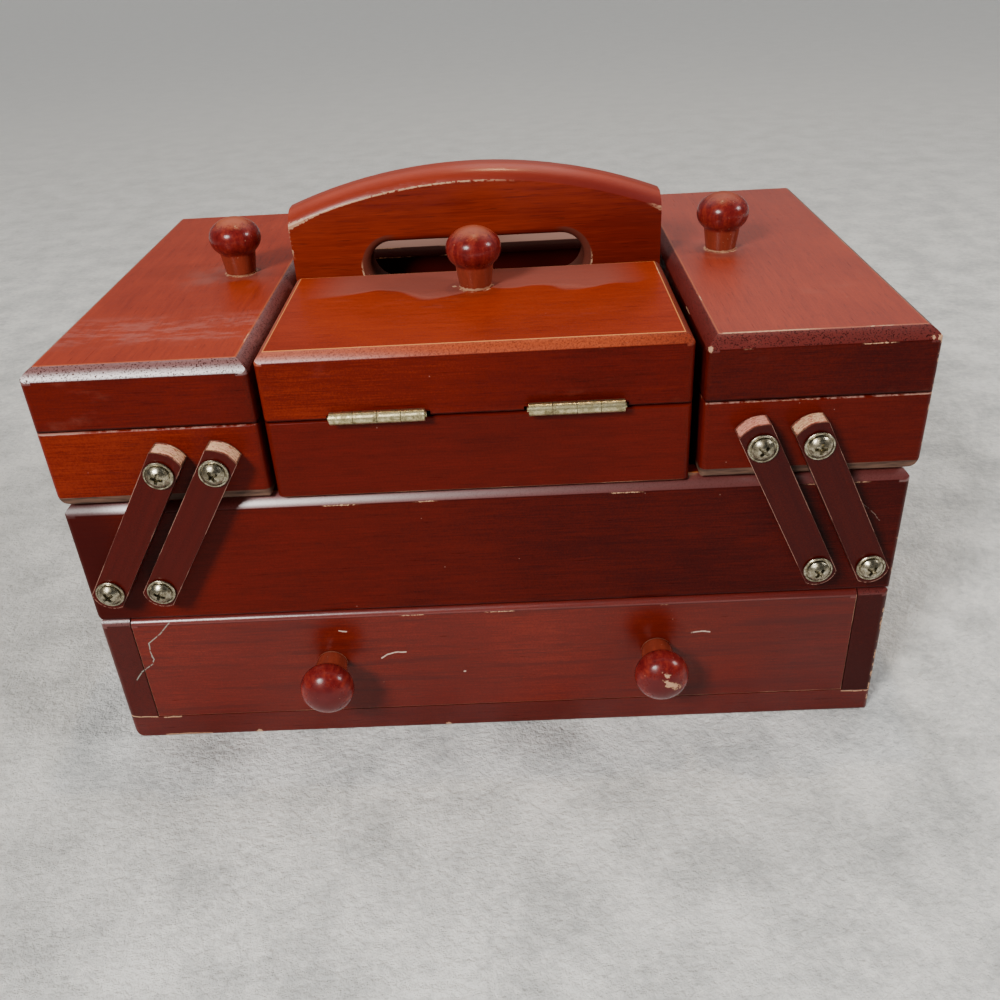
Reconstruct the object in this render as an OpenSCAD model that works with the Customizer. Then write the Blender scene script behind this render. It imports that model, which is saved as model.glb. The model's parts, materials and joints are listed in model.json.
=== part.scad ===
// Wooden sewing carrier: a drawer base, a middle tier, a centre compartment with a
// carrying handle, and two lidded trays that swing outward on parallel arms.
// +X is to the right, +Y to the back, +Z up. The origin is the centre of the underside.

/* [Base] */
// Width of the case
case_w = 300; // [280:1:330]
// Depth of the case, front to back
case_d = 190; // [170:1:220]
// Thickness of the bottom board
bottom_t = 10.8; // [8:0.1:14]
// Thickness of the two side boards of the base
base_side_t = 11.8; // [9:0.1:14]
// Thickness of the back board of the base
base_back_t = 10; // [7:0.5:13]
// Height of the base, underside to the top of its side boards
base_h = 60.5; // [52:0.5:75]
// Rounding along the front and back lower edges of the bottom board
bottom_round = 1; // [0.5:0.1:5]
// Rounding of the lower edge of the bottom board at its left end
bottom_left_round = 6; // [0.5:0.1:7]
// Rounding of the lower edge of the bottom board at its right end
bottom_right_round = 1.5; // [0.5:0.1:7]
// Rounding along the upper edges of the side and back boards
base_round = 3; // [1:0.1:4]
// Rounding of the upright corners
corner_round = 2.4; // [0.5:0.1:2.5]

/* [Middle tier] */
// Height of the middle tier
middle_h = 51.3; // [44:0.1:65]
// Thickness of the walls of the middle tier
middle_wall_t = 10; // [8.5:0.5:13]
// Thickness of the floor of the middle tier
middle_floor_t = 4; // [3:0.5:6]
// Rounding along the upper edges of the middle tier
middle_round = 4.5; // [1:0.1:5]
// Radius of the shallow curve that fills that rounding
middle_bow = 8; // [5:0.5:14]
// Rounding along the front and back lower edges of the middle tier
middle_under_round = 1.5; // [1:0.1:4]
// Rounding of the lower edge of the middle tier at its left end
middle_left_round = 4.5; // [0.5:0.1:6]
// Rounding of the lower edge of the middle tier at its right end
middle_right_round = 1.5; // [0.5:0.1:6]

/* [Centre compartment] */
// Width of the centre compartment between the trays
centre_w = 144.4; // [130:0.2:150]
// Thickness of the front and back boards of the centre compartment
centre_board_t = 10; // [8.5:0.5:13]
// Thickness of the two partitions that run down to the middle floor
partition_t = 8; // [6:0.5:10]

/* [Trays] */
// Width of a tray
tray_w = 76.2; // [70:0.2:80]
// Height of a tray
tray_h = 28.2; // [26:0.2:40]
// Thickness of the walls of a tray
tray_wall_t = 9; // [8:0.5:11]
// Thickness of the sheet under the walls that makes the floor of a tray
tray_floor_t = 3; // [2.5:0.5:5]
// Rounding along the front, back and inner lower edges of a tray
tray_round = 1.2; // [0.5:0.1:4]
// Rounding of the outer lower edge of a tray
tray_outer_round = 6; // [1:0.1:7]
// Rounding of the rim that a lid closes on
rim_round = 0.6; // [0.2:0.1:1]
// Gap between the centre compartment and the left tray
left_gap = 2; // [1:0.1:5]
// Gap between the centre compartment and the right tray
right_gap = 3.6; // [1:0.1:5]
// Clearance under a tray at rest
tray_rest_gap = 0.4; // [0.2:0.1:0.9]

/* [Lids] */
// Height of a tray lid
side_lid_h = 22.7; // [18:0.1:30]
// Height of a centre lid
centre_lid_h = 24.4; // [18:0.1:30]
// Thickness of the top board of a lid
lid_top_t = 7; // [5:0.5:9]
// Thickness of the rails round a lid
lid_rail_t = 9; // [8:0.5:11]
// Rounding along the upper edges of a tray lid
side_lid_round = 4.3; // [1:0.1:5]
// Rounding along the upper edges of a centre lid
centre_lid_round = 3.2; // [1:0.1:5]
// Radius of the shallow curve that fills the rounding of a lid
lid_bow = 8; // [5:0.5:14]
// Rounding along the lower edges of a lid
lid_under_round = 0.9; // [0.2:0.1:1.5]
// Seam between a lid and the rim that it closes on
lid_gap = 0.4; // [0.2:0.1:0.9]
// Distance from a centre lid to the face of the handle board
handle_gap = 4.5; // [2:0.5:8]

/* [Handle] */
// Width of the handle board above the rim
handle_w = 145; // [132:0.2:146]
// Thickness of the handle board
handle_t = 20; // [14:0.5:24]
// Height of the crest of the handle above the underside
handle_top = 202.4; // [196:0.2:225]
// Drop of the arch from its crest to its ends
handle_rise = 13.6; // [8:0.2:18]
// Height of the rounding along the arch
handle_round = 5; // [2:0.5:6]
// Distance that this rounding reaches in over the crest
handle_crown = 8; // [6:0.5:9]
// Width of the hand slot at its narrowest
slot_w = 85.2; // [70:0.2:100]
// Height of the hand slot at its narrowest
slot_h = 18.8; // [16:0.2:24]
// Rounding of the edges of the hand slot
slot_round = 3; // [1:0.5:5]
// Height of the middle of the hand slot above the underside
slot_z = 166; // [164:0.5:172]

/* [Drawer] */
// Thickness of the drawer front
drawer_front_t = 11; // [8:0.5:14]
// Thickness of the sides and the back of the drawer
drawer_side_t = 7; // [5:0.5:9]
// Height of the sides and the back of the drawer
drawer_side_h = 38; // [25:0.5:40]
// Thickness of the drawer bottom
drawer_bottom_t = 3; // [2:0.5:4]
// Clearance beside and under the drawer
drawer_gap = 0.4; // [0.2:0.1:1]
// Gap between the top of the drawer front and the middle tier
drawer_top_gap = 0.8; // [0.4:0.1:2]
// Rounding along the upper edge of the drawer front
drawer_round = 2.5; // [1:0.1:4]
// Space left behind the drawer
drawer_back_gap = 3; // [0.5:0.5:10]
// Distance between the two drawer knobs
drawer_knob_span = 126.6; // [80:0.2:160]

/* [Knobs] */
// Diameter of the head of a knob
knob_d = 20.4; // [17:0.1:24]
// Height of the head of a knob
knob_head_h = 16; // [13:0.1:17]
// Radius of the tight curve round the head of a knob
knob_edge_r = 6.5; // [5:0.1:6.5]
// Height of a knob
knob_h = 22.5; // [20:0.1:28]
// Diameter of the neck where it meets the wood
neck_base_d = 11.8; // [9:0.1:13]
// Diameter of the neck under the head
neck_top_d = 14; // [11:0.1:15]
// Distance from the free edge of a lid to its knob
knob_inset = 22.5; // [15:0.5:35]

/* [Arms] */
// Length of an arm between its two pivots
arm_len = 56; // [50:0.5:62]
// Width of an arm
arm_w = 11.5; // [10:0.1:13]
// Thickness of an arm
arm_t = 7.5; // [5:0.1:9]
// Distance from the upper pivot to the rounded top end
arm_top_r = 8.3; // [7:0.1:9]
// Radius of the curve of the top end
arm_top_bow = 10.5; // [9:0.5:20]
// Distance from the lower pivot to the rounded bottom end
arm_foot_r = 7; // [6.8:0.1:8]
// Distance between the two arms of a pair
arm_spacing = 18.8; // [17:0.1:24]
// Lean of the closed arms on the left, from upright
left_lean = 31; // [24:0.5:34]
// Lean of the closed arms on the right, a little steeper
right_lean = 25.5; // [24:0.5:34]
// Distance from the middle of the case to a pair of lower pivots
lower_pivot_x = 128.1; // [120:0.1:132]
// Height of the upper pivots above the underside of a tray
upper_pivot_h = 14.8; // [12:0.1:16]
// Clearance between an arm and the wood behind it, and under its screw
arm_gap = 0.3; // [0.2:0.1:0.6]

/* [Screws] */
// Diameter of the washer head
screw_head_d = 10.3; // [8:0.1:11]
// Thickness of the washer
washer_t = 0.8; // [0.5:0.1:1.2]
// Diameter of the domed part of the head
dome_d = 8; // [6:0.1:8.8]
// Height of the dome above the washer
dome_h = 2.4; // [1.2:0.1:3]
// Diameter of the shank
shank_d = 4; // [3:0.1:5]
// Length of the shank inside the wood
screw_bite = 7.5; // [5:0.5:8]
// Radial clearance of an arm on a shank
pivot_clear = 0.1; // [0.05:0.01:0.1]
// Radial clearance of a pilot hole round a shank
pilot_clear = 0.05; // [0.02:0.01:0.1]

/* [Hinges] */
// Length of a hinge
hinge_len = 32; // [24:0.5:40]
// Number of knuckles on a hinge
knuckles = 4; // [2:2:6]
// Diameter of the hinge barrel
barrel_d = 4.4; // [4:0.1:5]
// Diameter of the hinge pin
pin_d = 1.9; // [1.5:0.1:2]
// Length of pin that shows at each end
pin_end = 0.5; // [0:0.1:1]
// Thickness of a hinge leaf
leaf_t = 1; // [0.6:0.1:1]
// Distance that a leaf reaches in from the face of the wood
leaf_reach = 7.5; // [5:0.1:8]
// Distance from the face of the wood to the hinge pin
pin_offset = 2.6; // [2.6:0.1:4]
// Radial clearance of a knuckle on the pin
knuckle_clear = 0.05; // [0.02:0.01:0.1]
// Gap between neighbouring knuckles
knuckle_gap = 0.2; // [0.1:0.1:0.4]
// Gap at each end of a hinge in its recess
recess_gap = 1.5; // [0.5:0.1:3]
// Distance between the two hinges of a centre lid
centre_hinge_span = 66.4; // [50:0.2:80]
// Distance between the two hinges of a tray lid
side_hinge_span = 104; // [70:1:120]

/* [Quality] */
// Number of sides that a circle is drawn with
facets = 48; // [24:4:96]

/* [Hidden] */
$fn = facets;
LEFT = -1;
RIGHT = 1;
FRONT = -1;
BACK = 1;
// Distance by which a cutter runs past what it cuts
over = 1;

// Heights of the tiers
middle_top = base_h + middle_h;
middle_floor_top = base_h + middle_floor_t;
tray_z = middle_top + tray_rest_gap;
tray_floor_top = tray_z + tray_floor_t;
rim_z = tray_z + tray_h;
lid_z = rim_z + lid_gap;
pin_z = rim_z + barrel_d / 2;

// Distances from the middle of the case to the faces of a tray
function tray_in(side) = centre_w / 2 + (side == LEFT ? left_gap : right_gap);
function tray_out(side) = tray_in(side) + tray_w;
function tray_mid(side) = (tray_in(side) + tray_out(side)) / 2;

// Pivots of the arms: place is -1 for the inner arm and 1 for the outer one
function lean(side) = side == LEFT ? left_lean : right_lean;
function lower_x(place) = lower_pivot_x + place * arm_spacing / 2;
function upper_x(side, place) = lower_x(place) - arm_len * sin(lean(side));
upper_z = tray_z + upper_pivot_h;
function lower_z(side) = upper_z - arm_len * cos(lean(side));

// Faces that the arms and screws stand on, measured outward from the middle
face_y = case_d / 2;
arm_y = face_y + arm_gap;
screw_y = arm_y + arm_t + arm_gap;

// Lids: the top board takes the rounding, the rails the recess for the hinges
centre_lid_d = face_y - handle_t / 2 - handle_gap;
lid_recess = pin_z - lid_z;

// Drawer
drawer_w = case_w - 2 * (base_side_t + drawer_gap);
drawer_z = bottom_t + drawer_gap;
drawer_front_h = base_h - drawer_top_gap - drawer_z;
drawer_end_y = face_y - base_back_t - drawer_back_gap;

// Handle
arch_r = (pow(handle_w / 2, 2) + pow(handle_rise, 2)) / (2 * handle_rise);
crown_r = (pow(handle_crown, 2) + pow(handle_round, 2)) / (2 * handle_round);
slot_r = slot_h / 2;

// Hinges
knuckle_len = hinge_len / knuckles;
knuckle_bore = pin_d + 2 * knuckle_clear;
hinge_tab = (barrel_d + knuckle_bore) / 4;

dark_wood = [0.30, 0.06, 0.05];
red_wood = [0.42, 0.09, 0.05];
lid_wood = [0.50, 0.13, 0.08];
knob_wood = [0.38, 0.04, 0.05];
plain_wood = [0.72, 0.50, 0.32];
old_nickel = [0.55, 0.52, 0.42];
old_brass = [0.52, 0.46, 0.30];

// A rectangle that stands on the X axis, with its upper corners and each lower one rounded
module round_rect(w, h, top_r, left_r, right_r, bow = 0) {
  difference() {
    translate([-w / 2, 0]) square([w, h]);
    for (s = [-1, 1]) translate([s * w / 2, h]) corner_waste(top_r, s, 1, bow);
    translate([-w / 2, 0]) corner_waste(left_r, -1, -1);
    translate([w / 2, 0]) corner_waste(right_r, 1, -1);
  }
}

// What a rounding takes off a corner at the origin. It starts at a distance r from the corner
// on both faces. A bow over r is the radius of a shallower curve, which leaves a crisp line there.
module corner_waste(r, sx, sy, bow = 0) {
  curve_r = max(r, bow);
  inset = (r + sqrt(2 * curve_r * curve_r - r * r)) / 2;
  if (r > 0) difference() {
    square(2 * r, center = true);
    translate([-sx * inset, -sy * inset]) circle(curve_r);
  }
}

// Extrudes an outline drawn in X and Z along Y, or one drawn in Y and Z along X
module along_y(d) {
  rotate([90, 0, 0]) linear_extrude(d, center = true) children();
}
module along_x(w) {
  rotate([90, 0, 90]) linear_extrude(w, center = true) children();
}

// The outer form of a tier, centred on the Z axis and standing at z = 0. Its lower edges have
// under_r at the front and back, left_r at the left end and right_r at the right end.
module tier_form(w, d, h, top_r, under_r, left_r, right_r, bow = 0) {
  intersection() {
    along_y(d) round_rect(w, h, top_r, left_r, right_r, bow);
    along_x(w) round_rect(d, h, top_r, under_r, under_r, bow);
    linear_extrude(h) translate([0, -d / 2])
      round_rect(w, d, corner_round, corner_round, corner_round);
  }
}

// A box between two heights, given its ranges across and front to back
module span_box(x0, x1, y0, y1, z0, z1) {
  translate([x0, y0, z0]) cube([x1 - x0, y1 - y0, z1 - z0]);
}

// Draws what is modelled on the right in its place on either side
module on_side(side) {
  mirror([side == LEFT ? 1 : 0, 0, 0]) children();
}

// Draws what is modelled at the back in its place at the front or the back
module on_face(face) {
  mirror([0, face == FRONT ? 1 : 0, 0]) children();
}

// Base

module base_form() {
  tier_form(case_w, case_d, base_h, base_round, bottom_round, bottom_left_round,
    bottom_right_round);
}
module base_bottom() {
  color(dark_wood) intersection() {
    base_form();
    span_box(-case_w, case_w, -case_d, case_d, 0, bottom_t);
  }
}
module base_side(side) {
  color(dark_wood) intersection() {
    base_form();
    on_side(side) span_box(case_w / 2 - base_side_t, case_w, -case_d, case_d, bottom_t, base_h);
  }
}
module base_left_side() { base_side(LEFT); }
module base_right_side() { base_side(RIGHT); }
module base_back() {
  inner = case_w / 2 - base_side_t;
  color(dark_wood) intersection() {
    base_form();
    span_box(-inner, inner, face_y - base_back_t, case_d, bottom_t, base_h);
  }
}

// Middle tier

module middle_form() {
  translate([0, 0, base_h])
    tier_form(case_w, case_d, middle_h, middle_round, middle_under_round, middle_left_round,
      middle_right_round, middle_bow);
}
module middle_long_wall(face) {
  color(dark_wood) difference() {
    on_face(face) intersection() {
      middle_form();
      span_box(-case_w, case_w, face_y - middle_wall_t, case_d, base_h, middle_top);
    }
    for (side = [LEFT, RIGHT], place = [-1, 1])
      on_side(side) on_face(face) pilot_hole(lower_x(place), lower_z(side));
  }
}
module middle_front() { middle_long_wall(FRONT); }
module middle_back() { middle_long_wall(BACK); }
module middle_side(side) {
  inner = face_y - middle_wall_t;
  color(dark_wood) intersection() {
    middle_form();
    on_side(side)
      span_box(case_w / 2 - middle_wall_t, case_w, -inner, inner, base_h, middle_top);
  }
}
module middle_left_side() { middle_side(LEFT); }
module middle_right_side() { middle_side(RIGHT); }
module middle_floor() {
  x = case_w / 2 - middle_wall_t;
  y = face_y - middle_wall_t;
  color(plain_wood) span_box(-x, x, -y, y, base_h, middle_floor_top);
}

// Centre compartment and handle

module centre_board(face) {
  color(dark_wood) on_face(face) intersection() {
    translate([0, 0, middle_top])
      tier_form(centre_w, case_d, rim_z - middle_top, rim_round, 0, 0, 0);
    span_box(-case_w, case_w, face_y - centre_board_t, case_d, middle_top, rim_z);
  }
}
module centre_front() { centre_board(FRONT); }
module centre_back() { centre_board(BACK); }
module partition(side) {
  low = face_y - middle_wall_t;
  high = face_y - centre_board_t;
  x = centre_w / 2;
  color(dark_wood) on_side(side) {
    span_box(x - partition_t, x, -low, low, middle_floor_top, middle_top);
    span_box(x - partition_t, x, -high, high, middle_top, rim_z);
  }
}
module centre_left_side() { partition(LEFT); }
module centre_right_side() { partition(RIGHT); }

// A disc on edge whose rim is the rounded arch of the handle
module arch_disc() {
  translate([0, 0, handle_top - arch_r]) rotate([90, 0, 0]) rotate_extrude($fn = 4 * facets)
    difference() {
      translate([0, -handle_t / 2]) square([arch_r, handle_t]);
      for (s = [-1, 1]) translate([arch_r, s * handle_t / 2]) crown_waste(s);
    }
}
// What the rounding along the arch takes off one side of the disc, at its edge
module crown_waste(s) {
  difference() {
    square(2 * handle_crown, center = true);
    translate([-crown_r, -s * handle_crown]) circle(crown_r);
  }
}
// Half of the profile of the hand slot: its depth runs along Y, its half height along X
module slot_profile() {
  r = slot_r + slot_round;
  straight = handle_t / 2 - slot_round;
  difference() {
    translate([0, -handle_t / 2 - over]) square([r, handle_t + 2 * over]);
    for (s = [-1, 1]) translate([r, s * straight]) circle(slot_round);
    translate([slot_r, -straight]) square([2 * slot_round, 2 * straight]);
  }
}
module hand_slot() {
  run = slot_w / 2 - slot_r;
  translate([0, 0, slot_z]) {
    for (s = [-1, 1]) translate([s * run, 0, 0]) rotate([90, 0, 0]) rotate_extrude() slot_profile();
    for (turn = [-90, 90]) rotate([0, turn, 0])
      linear_extrude(2 * run, center = true) slot_profile();
  }
}
module handle_board() {
  inner = centre_w / 2 - partition_t;
  color(red_wood) difference() {
    intersection() {
      arch_disc();
      along_y(handle_t) union() {
        translate([-inner, middle_floor_top]) square([2 * inner, rim_z - middle_floor_top + over]);
        translate([-handle_w / 2, rim_z]) square([handle_w, handle_top - rim_z]);
      }
    }
    hand_slot();
  }
}

// Hinges, drawn along X with the pin at the origin and the wood towards +Y

// Spans of the knuckles that belong to one leaf: first is 0 or 1
module each_knuckle(first) {
  for (i = [first:2:knuckles - 1])
    translate([-hinge_len / 2 + i * knuckle_len + knuckle_gap / 2, 0, 0]) children();
}
module leaf(first, low) {
  len = knuckle_len - knuckle_gap;
  difference() {
    union() {
      each_knuckle(first) {
        rotate([0, 90, 0]) cylinder(d = barrel_d, h = len);
        translate([0, hinge_tab, low]) cube([len, pin_offset - hinge_tab, leaf_t]);
      }
      translate([-hinge_len / 2, pin_offset, low]) cube([hinge_len, leaf_reach, leaf_t]);
    }
    rotate([0, 90, 0]) cylinder(d = knuckle_bore, h = hinge_len + 2 * over, center = true);
  }
}
module fixed_leaf() { leaf(0, -barrel_d / 2); }
module moving_leaf() { leaf(1, -leaf_t); }
module pin() {
  rotate([0, 90, 0]) cylinder(d = pin_d, h = hinge_len + 2 * pin_end, center = true);
}
// The recess that a lid rail has for both leaves
module leaf_recess() {
  translate([-hinge_len / 2 - recess_gap, 0, -lid_recess - over])
    cube([hinge_len + 2 * recess_gap, pin_offset + leaf_reach + recess_gap, lid_recess + over]);
}
// Draws a hinge part at both hinges of a centre lid, or of a tray lid
module at_centre_hinges(face) {
  on_face(face) for (s = [-1, 1])
    translate([s * centre_hinge_span / 2, face_y + pin_offset, pin_z]) mirror([0, 1, 0]) children();
}
module at_side_hinges(side) {
  on_side(side) for (s = [-1, 1])
    translate([tray_out(side) + pin_offset, s * side_hinge_span / 2, pin_z])
      rotate([0, 0, 90]) children();
}

module case_hinge_leaves() {
  color(old_brass) for (face = [FRONT, BACK]) at_centre_hinges(face) fixed_leaf();
}
module case_hinge_pins() {
  color(old_brass) for (face = [FRONT, BACK]) at_centre_hinges(face) pin();
}

// Screws and arms

// A screw whose head is seated at the origin, with its shank towards -Y
module arm_screw() {
  dome_r = (pow(dome_d / 2, 2) + pow(dome_h, 2)) / (2 * dome_h);
  shank = 2 * arm_gap + arm_t + screw_bite;
  rotate([-90, 0, 0]) rotate_extrude() {
    translate([0, -shank]) square([shank_d / 2, shank + washer_t / 2]);
    square([screw_head_d / 2, washer_t]);
    intersection() {
      translate([0, washer_t + dome_h - dome_r]) circle(dome_r);
      translate([0, washer_t / 2]) square([dome_d, dome_h + washer_t / 2]);
    }
  }
}
module pilot_hole(x, z) {
  depth = screw_bite + over;
  translate([x, face_y - depth, z]) rotate([-90, 0, 0])
    cylinder(d = shank_d + 2 * pilot_clear, h = depth + over);
}
module case_arm_screws() {
  color(old_nickel) for (side = [LEFT, RIGHT], face = [FRONT, BACK], place = [-1, 1])
    on_side(side) on_face(face) translate([lower_x(place), screw_y, lower_z(side)]) arm_screw();
}
module tray_screws(side) {
  color(old_nickel) for (face = [FRONT, BACK], place = [-1, 1])
    on_side(side) on_face(face) translate([upper_x(side, place), screw_y, upper_z]) arm_screw();
}

// An arm standing upright on its lower pivot, with both ends rounded about the pivots
module arm_outline() {
  difference() {
    union() {
      translate([-arm_w / 2, 0]) square([arm_w, arm_len]);
      intersection() {
        union() {
          circle(arm_foot_r);
          translate([0, arm_len + arm_top_r - arm_top_bow]) circle(arm_top_bow);
        }
        translate([-arm_w / 2, -arm_foot_r]) square([arm_w, arm_len + arm_foot_r + arm_top_r]);
      }
    }
    for (z = [0, arm_len]) translate([0, z]) circle(d = shank_d + 2 * pivot_clear);
  }
}
module arm_pair(side, place) {
  color(dark_wood) for (face = [FRONT, BACK])
    on_side(side) on_face(face) translate([lower_x(place), arm_y + arm_t / 2, lower_z(side)])
      rotate([0, -lean(side), 0]) along_y(arm_t) arm_outline();
}
module left_outer_arms() { arm_pair(LEFT, 1); }
module left_inner_arms() { arm_pair(LEFT, -1); }
module right_outer_arms() { arm_pair(RIGHT, 1); }
module right_inner_arms() { arm_pair(RIGHT, -1); }

// Trays

module tray_form(side) {
  translate([tray_mid(side), 0, tray_z])
    tier_form(tray_w, case_d, tray_h, rim_round, tray_round, tray_round, tray_outer_round);
}
module tray_end(side, face) {
  color(red_wood) on_side(side) on_face(face) difference() {
    intersection() {
      tray_form(side);
      span_box(0, case_w, face_y - tray_wall_t, case_d, tray_floor_top, rim_z);
    }
    for (place = [-1, 1]) pilot_hole(upper_x(side, place), upper_z);
  }
}
module tray_wall(side, x0, x1) {
  inner = face_y - tray_wall_t;
  color(red_wood) on_side(side) intersection() {
    tray_form(side);
    span_box(x0, x1, -inner, inner, tray_floor_top, rim_z);
  }
}
module tray_outer_wall(side) { tray_wall(side, tray_out(side) - tray_wall_t, tray_out(side)); }
module tray_inner_wall(side) { tray_wall(side, tray_in(side), tray_in(side) + tray_wall_t); }
module tray_floor(side) {
  color(plain_wood) on_side(side) intersection() {
    tray_form(side);
    span_box(tray_in(side), tray_out(side), -case_d, case_d, tray_z, tray_floor_top);
  }
}
module left_tray_front() { tray_end(LEFT, FRONT); }
module left_tray_back() { tray_end(LEFT, BACK); }
module left_tray_outer_wall() { tray_outer_wall(LEFT); }
module left_tray_inner_wall() { tray_inner_wall(LEFT); }
module left_tray_floor() { tray_floor(LEFT); }
module left_tray_hinge_leaves() { color(old_brass) at_side_hinges(LEFT) fixed_leaf(); }
module left_tray_hinge_pins() { color(old_brass) at_side_hinges(LEFT) pin(); }
module left_tray_screws() { tray_screws(LEFT); }
module right_tray_front() { tray_end(RIGHT, FRONT); }
module right_tray_back() { tray_end(RIGHT, BACK); }
module right_tray_outer_wall() { tray_outer_wall(RIGHT); }
module right_tray_inner_wall() { tray_inner_wall(RIGHT); }
module right_tray_floor() { tray_floor(RIGHT); }
module right_tray_hinge_leaves() { color(old_brass) at_side_hinges(RIGHT) fixed_leaf(); }
module right_tray_hinge_pins() { color(old_brass) at_side_hinges(RIGHT) pin(); }
module right_tray_screws() { tray_screws(RIGHT); }

// Lids

module side_lid_form(side) {
  translate([tray_mid(side), 0, lid_z])
    tier_form(tray_w, case_d, side_lid_h, side_lid_round, lid_under_round, lid_under_round,
      lid_under_round, lid_bow);
}
module centre_lid_form() {
  translate([0, face_y - centre_lid_d / 2, lid_z])
    tier_form(centre_w, centre_lid_d, centre_lid_h, centre_lid_round, lid_under_round,
      lid_under_round, lid_under_round, lid_bow);
}
// The top board of a lid that spans x0 to x1 and y0 to y1
module lid_top(x0, x1, y0, y1, h) {
  color(lid_wood) intersection() {
    children();
    span_box(x0, x1, y0, y1, lid_z + h - lid_top_t, lid_z + h);
  }
}
// The four rails under the top board: the front and back ones run the whole width
module lid_rails(x0, x1, y0, y1, h) {
  top = lid_z + h - lid_top_t;
  color(red_wood) intersection() {
    children();
    union() {
      for (y = [y0, y1 - lid_rail_t]) span_box(x0, x1, y, y + lid_rail_t, lid_z, top);
      for (x = [x0, x1 - lid_rail_t])
        span_box(x, x + lid_rail_t, y0 + lid_rail_t, y1 - lid_rail_t, lid_z, top);
    }
  }
}
module side_lid_top(side) {
  on_side(side) lid_top(tray_in(side), tray_out(side), -face_y, face_y, side_lid_h)
    side_lid_form(side);
}
module side_lid_rails(side) {
  difference() {
    on_side(side) lid_rails(tray_in(side), tray_out(side), -face_y, face_y, side_lid_h)
      side_lid_form(side);
    at_side_hinges(side) leaf_recess();
  }
}
module side_lid_knob(side) {
  on_side(side) translate([tray_in(side) + knob_inset, 0, lid_z + side_lid_h]) knob();
}
module centre_lid_top(face) {
  x = centre_w / 2;
  on_face(face) lid_top(-x, x, face_y - centre_lid_d, face_y, centre_lid_h) centre_lid_form();
}
module centre_lid_rails(face) {
  x = centre_w / 2;
  difference() {
    on_face(face) lid_rails(-x, x, face_y - centre_lid_d, face_y, centre_lid_h)
      centre_lid_form();
    at_centre_hinges(face) leaf_recess();
  }
}
module centre_lid_knob(face) {
  on_face(face) translate([0, face_y - centre_lid_d + knob_inset, lid_z + centre_lid_h]) knob();
}
module left_lid_top() { side_lid_top(LEFT); }
module left_lid_rails() { side_lid_rails(LEFT); }
module left_lid_hinge_leaves() { color(old_brass) at_side_hinges(LEFT) moving_leaf(); }
module left_lid_knob() { side_lid_knob(LEFT); }
module right_lid_top() { side_lid_top(RIGHT); }
module right_lid_rails() { side_lid_rails(RIGHT); }
module right_lid_hinge_leaves() { color(old_brass) at_side_hinges(RIGHT) moving_leaf(); }
module right_lid_knob() { side_lid_knob(RIGHT); }
module front_lid_top() { centre_lid_top(FRONT); }
module front_lid_rails() { centre_lid_rails(FRONT); }
module front_lid_hinge_leaves() { color(old_brass) at_centre_hinges(FRONT) moving_leaf(); }
module front_lid_knob() { centre_lid_knob(FRONT); }
module rear_lid_top() { centre_lid_top(BACK); }
module rear_lid_rails() { centre_lid_rails(BACK); }
module rear_lid_hinge_leaves() { color(old_brass) at_centre_hinges(BACK) moving_leaf(); }
module rear_lid_knob() { centre_lid_knob(BACK); }

// Knobs

// A turned knob standing on z = 0: an oval head of two curvatures on a tapered neck
module knob() {
  a = knob_d / 2;
  b = knob_head_h / 2;
  mid = knob_h - b;
  flat_r = (pow(a - knob_edge_r, 2) + b * b - pow(knob_edge_r, 2)) / (2 * (b - knob_edge_r));
  meet_x = (a - knob_edge_r) * flat_r / (flat_r - knob_edge_r);
  color(knob_wood) rotate_extrude() {
    polygon([[0, 0], [neck_base_d / 2, 0], [neck_top_d / 2, mid - b / 2], [0, mid]]);
    intersection() {
      translate([0, mid - flat_r + b]) circle(flat_r);
      translate([0, mid + flat_r - b]) circle(flat_r);
      translate([0, mid - b]) square([meet_x, 2 * b]);
    }
    translate([a - knob_edge_r, mid]) intersection() {
      circle(knob_edge_r);
      translate([knob_edge_r - a, -knob_edge_r]) square([a, 2 * knob_edge_r]);
    }
  }
}

// Drawer

module drawer_front() {
  color(dark_wood) translate([0, -face_y, drawer_z]) along_x(drawer_w) difference() {
    square([drawer_front_t, drawer_front_h]);
    translate([0, drawer_front_h]) corner_waste(drawer_round, -1, 1);
  }
}
module drawer_side(side) {
  color(plain_wood) on_side(side) span_box(drawer_w / 2 - drawer_side_t, drawer_w / 2,
    -face_y + drawer_front_t, drawer_end_y, drawer_z, drawer_z + drawer_side_h);
}
module drawer_left_side() { drawer_side(LEFT); }
module drawer_right_side() { drawer_side(RIGHT); }
module drawer_back() {
  x = drawer_w / 2 - drawer_side_t;
  color(plain_wood) span_box(-x, x, drawer_end_y - drawer_side_t, drawer_end_y,
    drawer_z, drawer_z + drawer_side_h);
}
module drawer_bottom() {
  x = drawer_w / 2 - drawer_side_t;
  color(plain_wood) span_box(-x, x, -face_y + drawer_front_t, drawer_end_y - drawer_side_t,
    drawer_z, drawer_z + drawer_bottom_t);
}
module drawer_knobs() {
  for (s = [-1, 1])
    translate([s * drawer_knob_span / 2, -face_y, drawer_z + drawer_front_h / 2])
      rotate([90, 0, 0]) knob();
}

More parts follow.
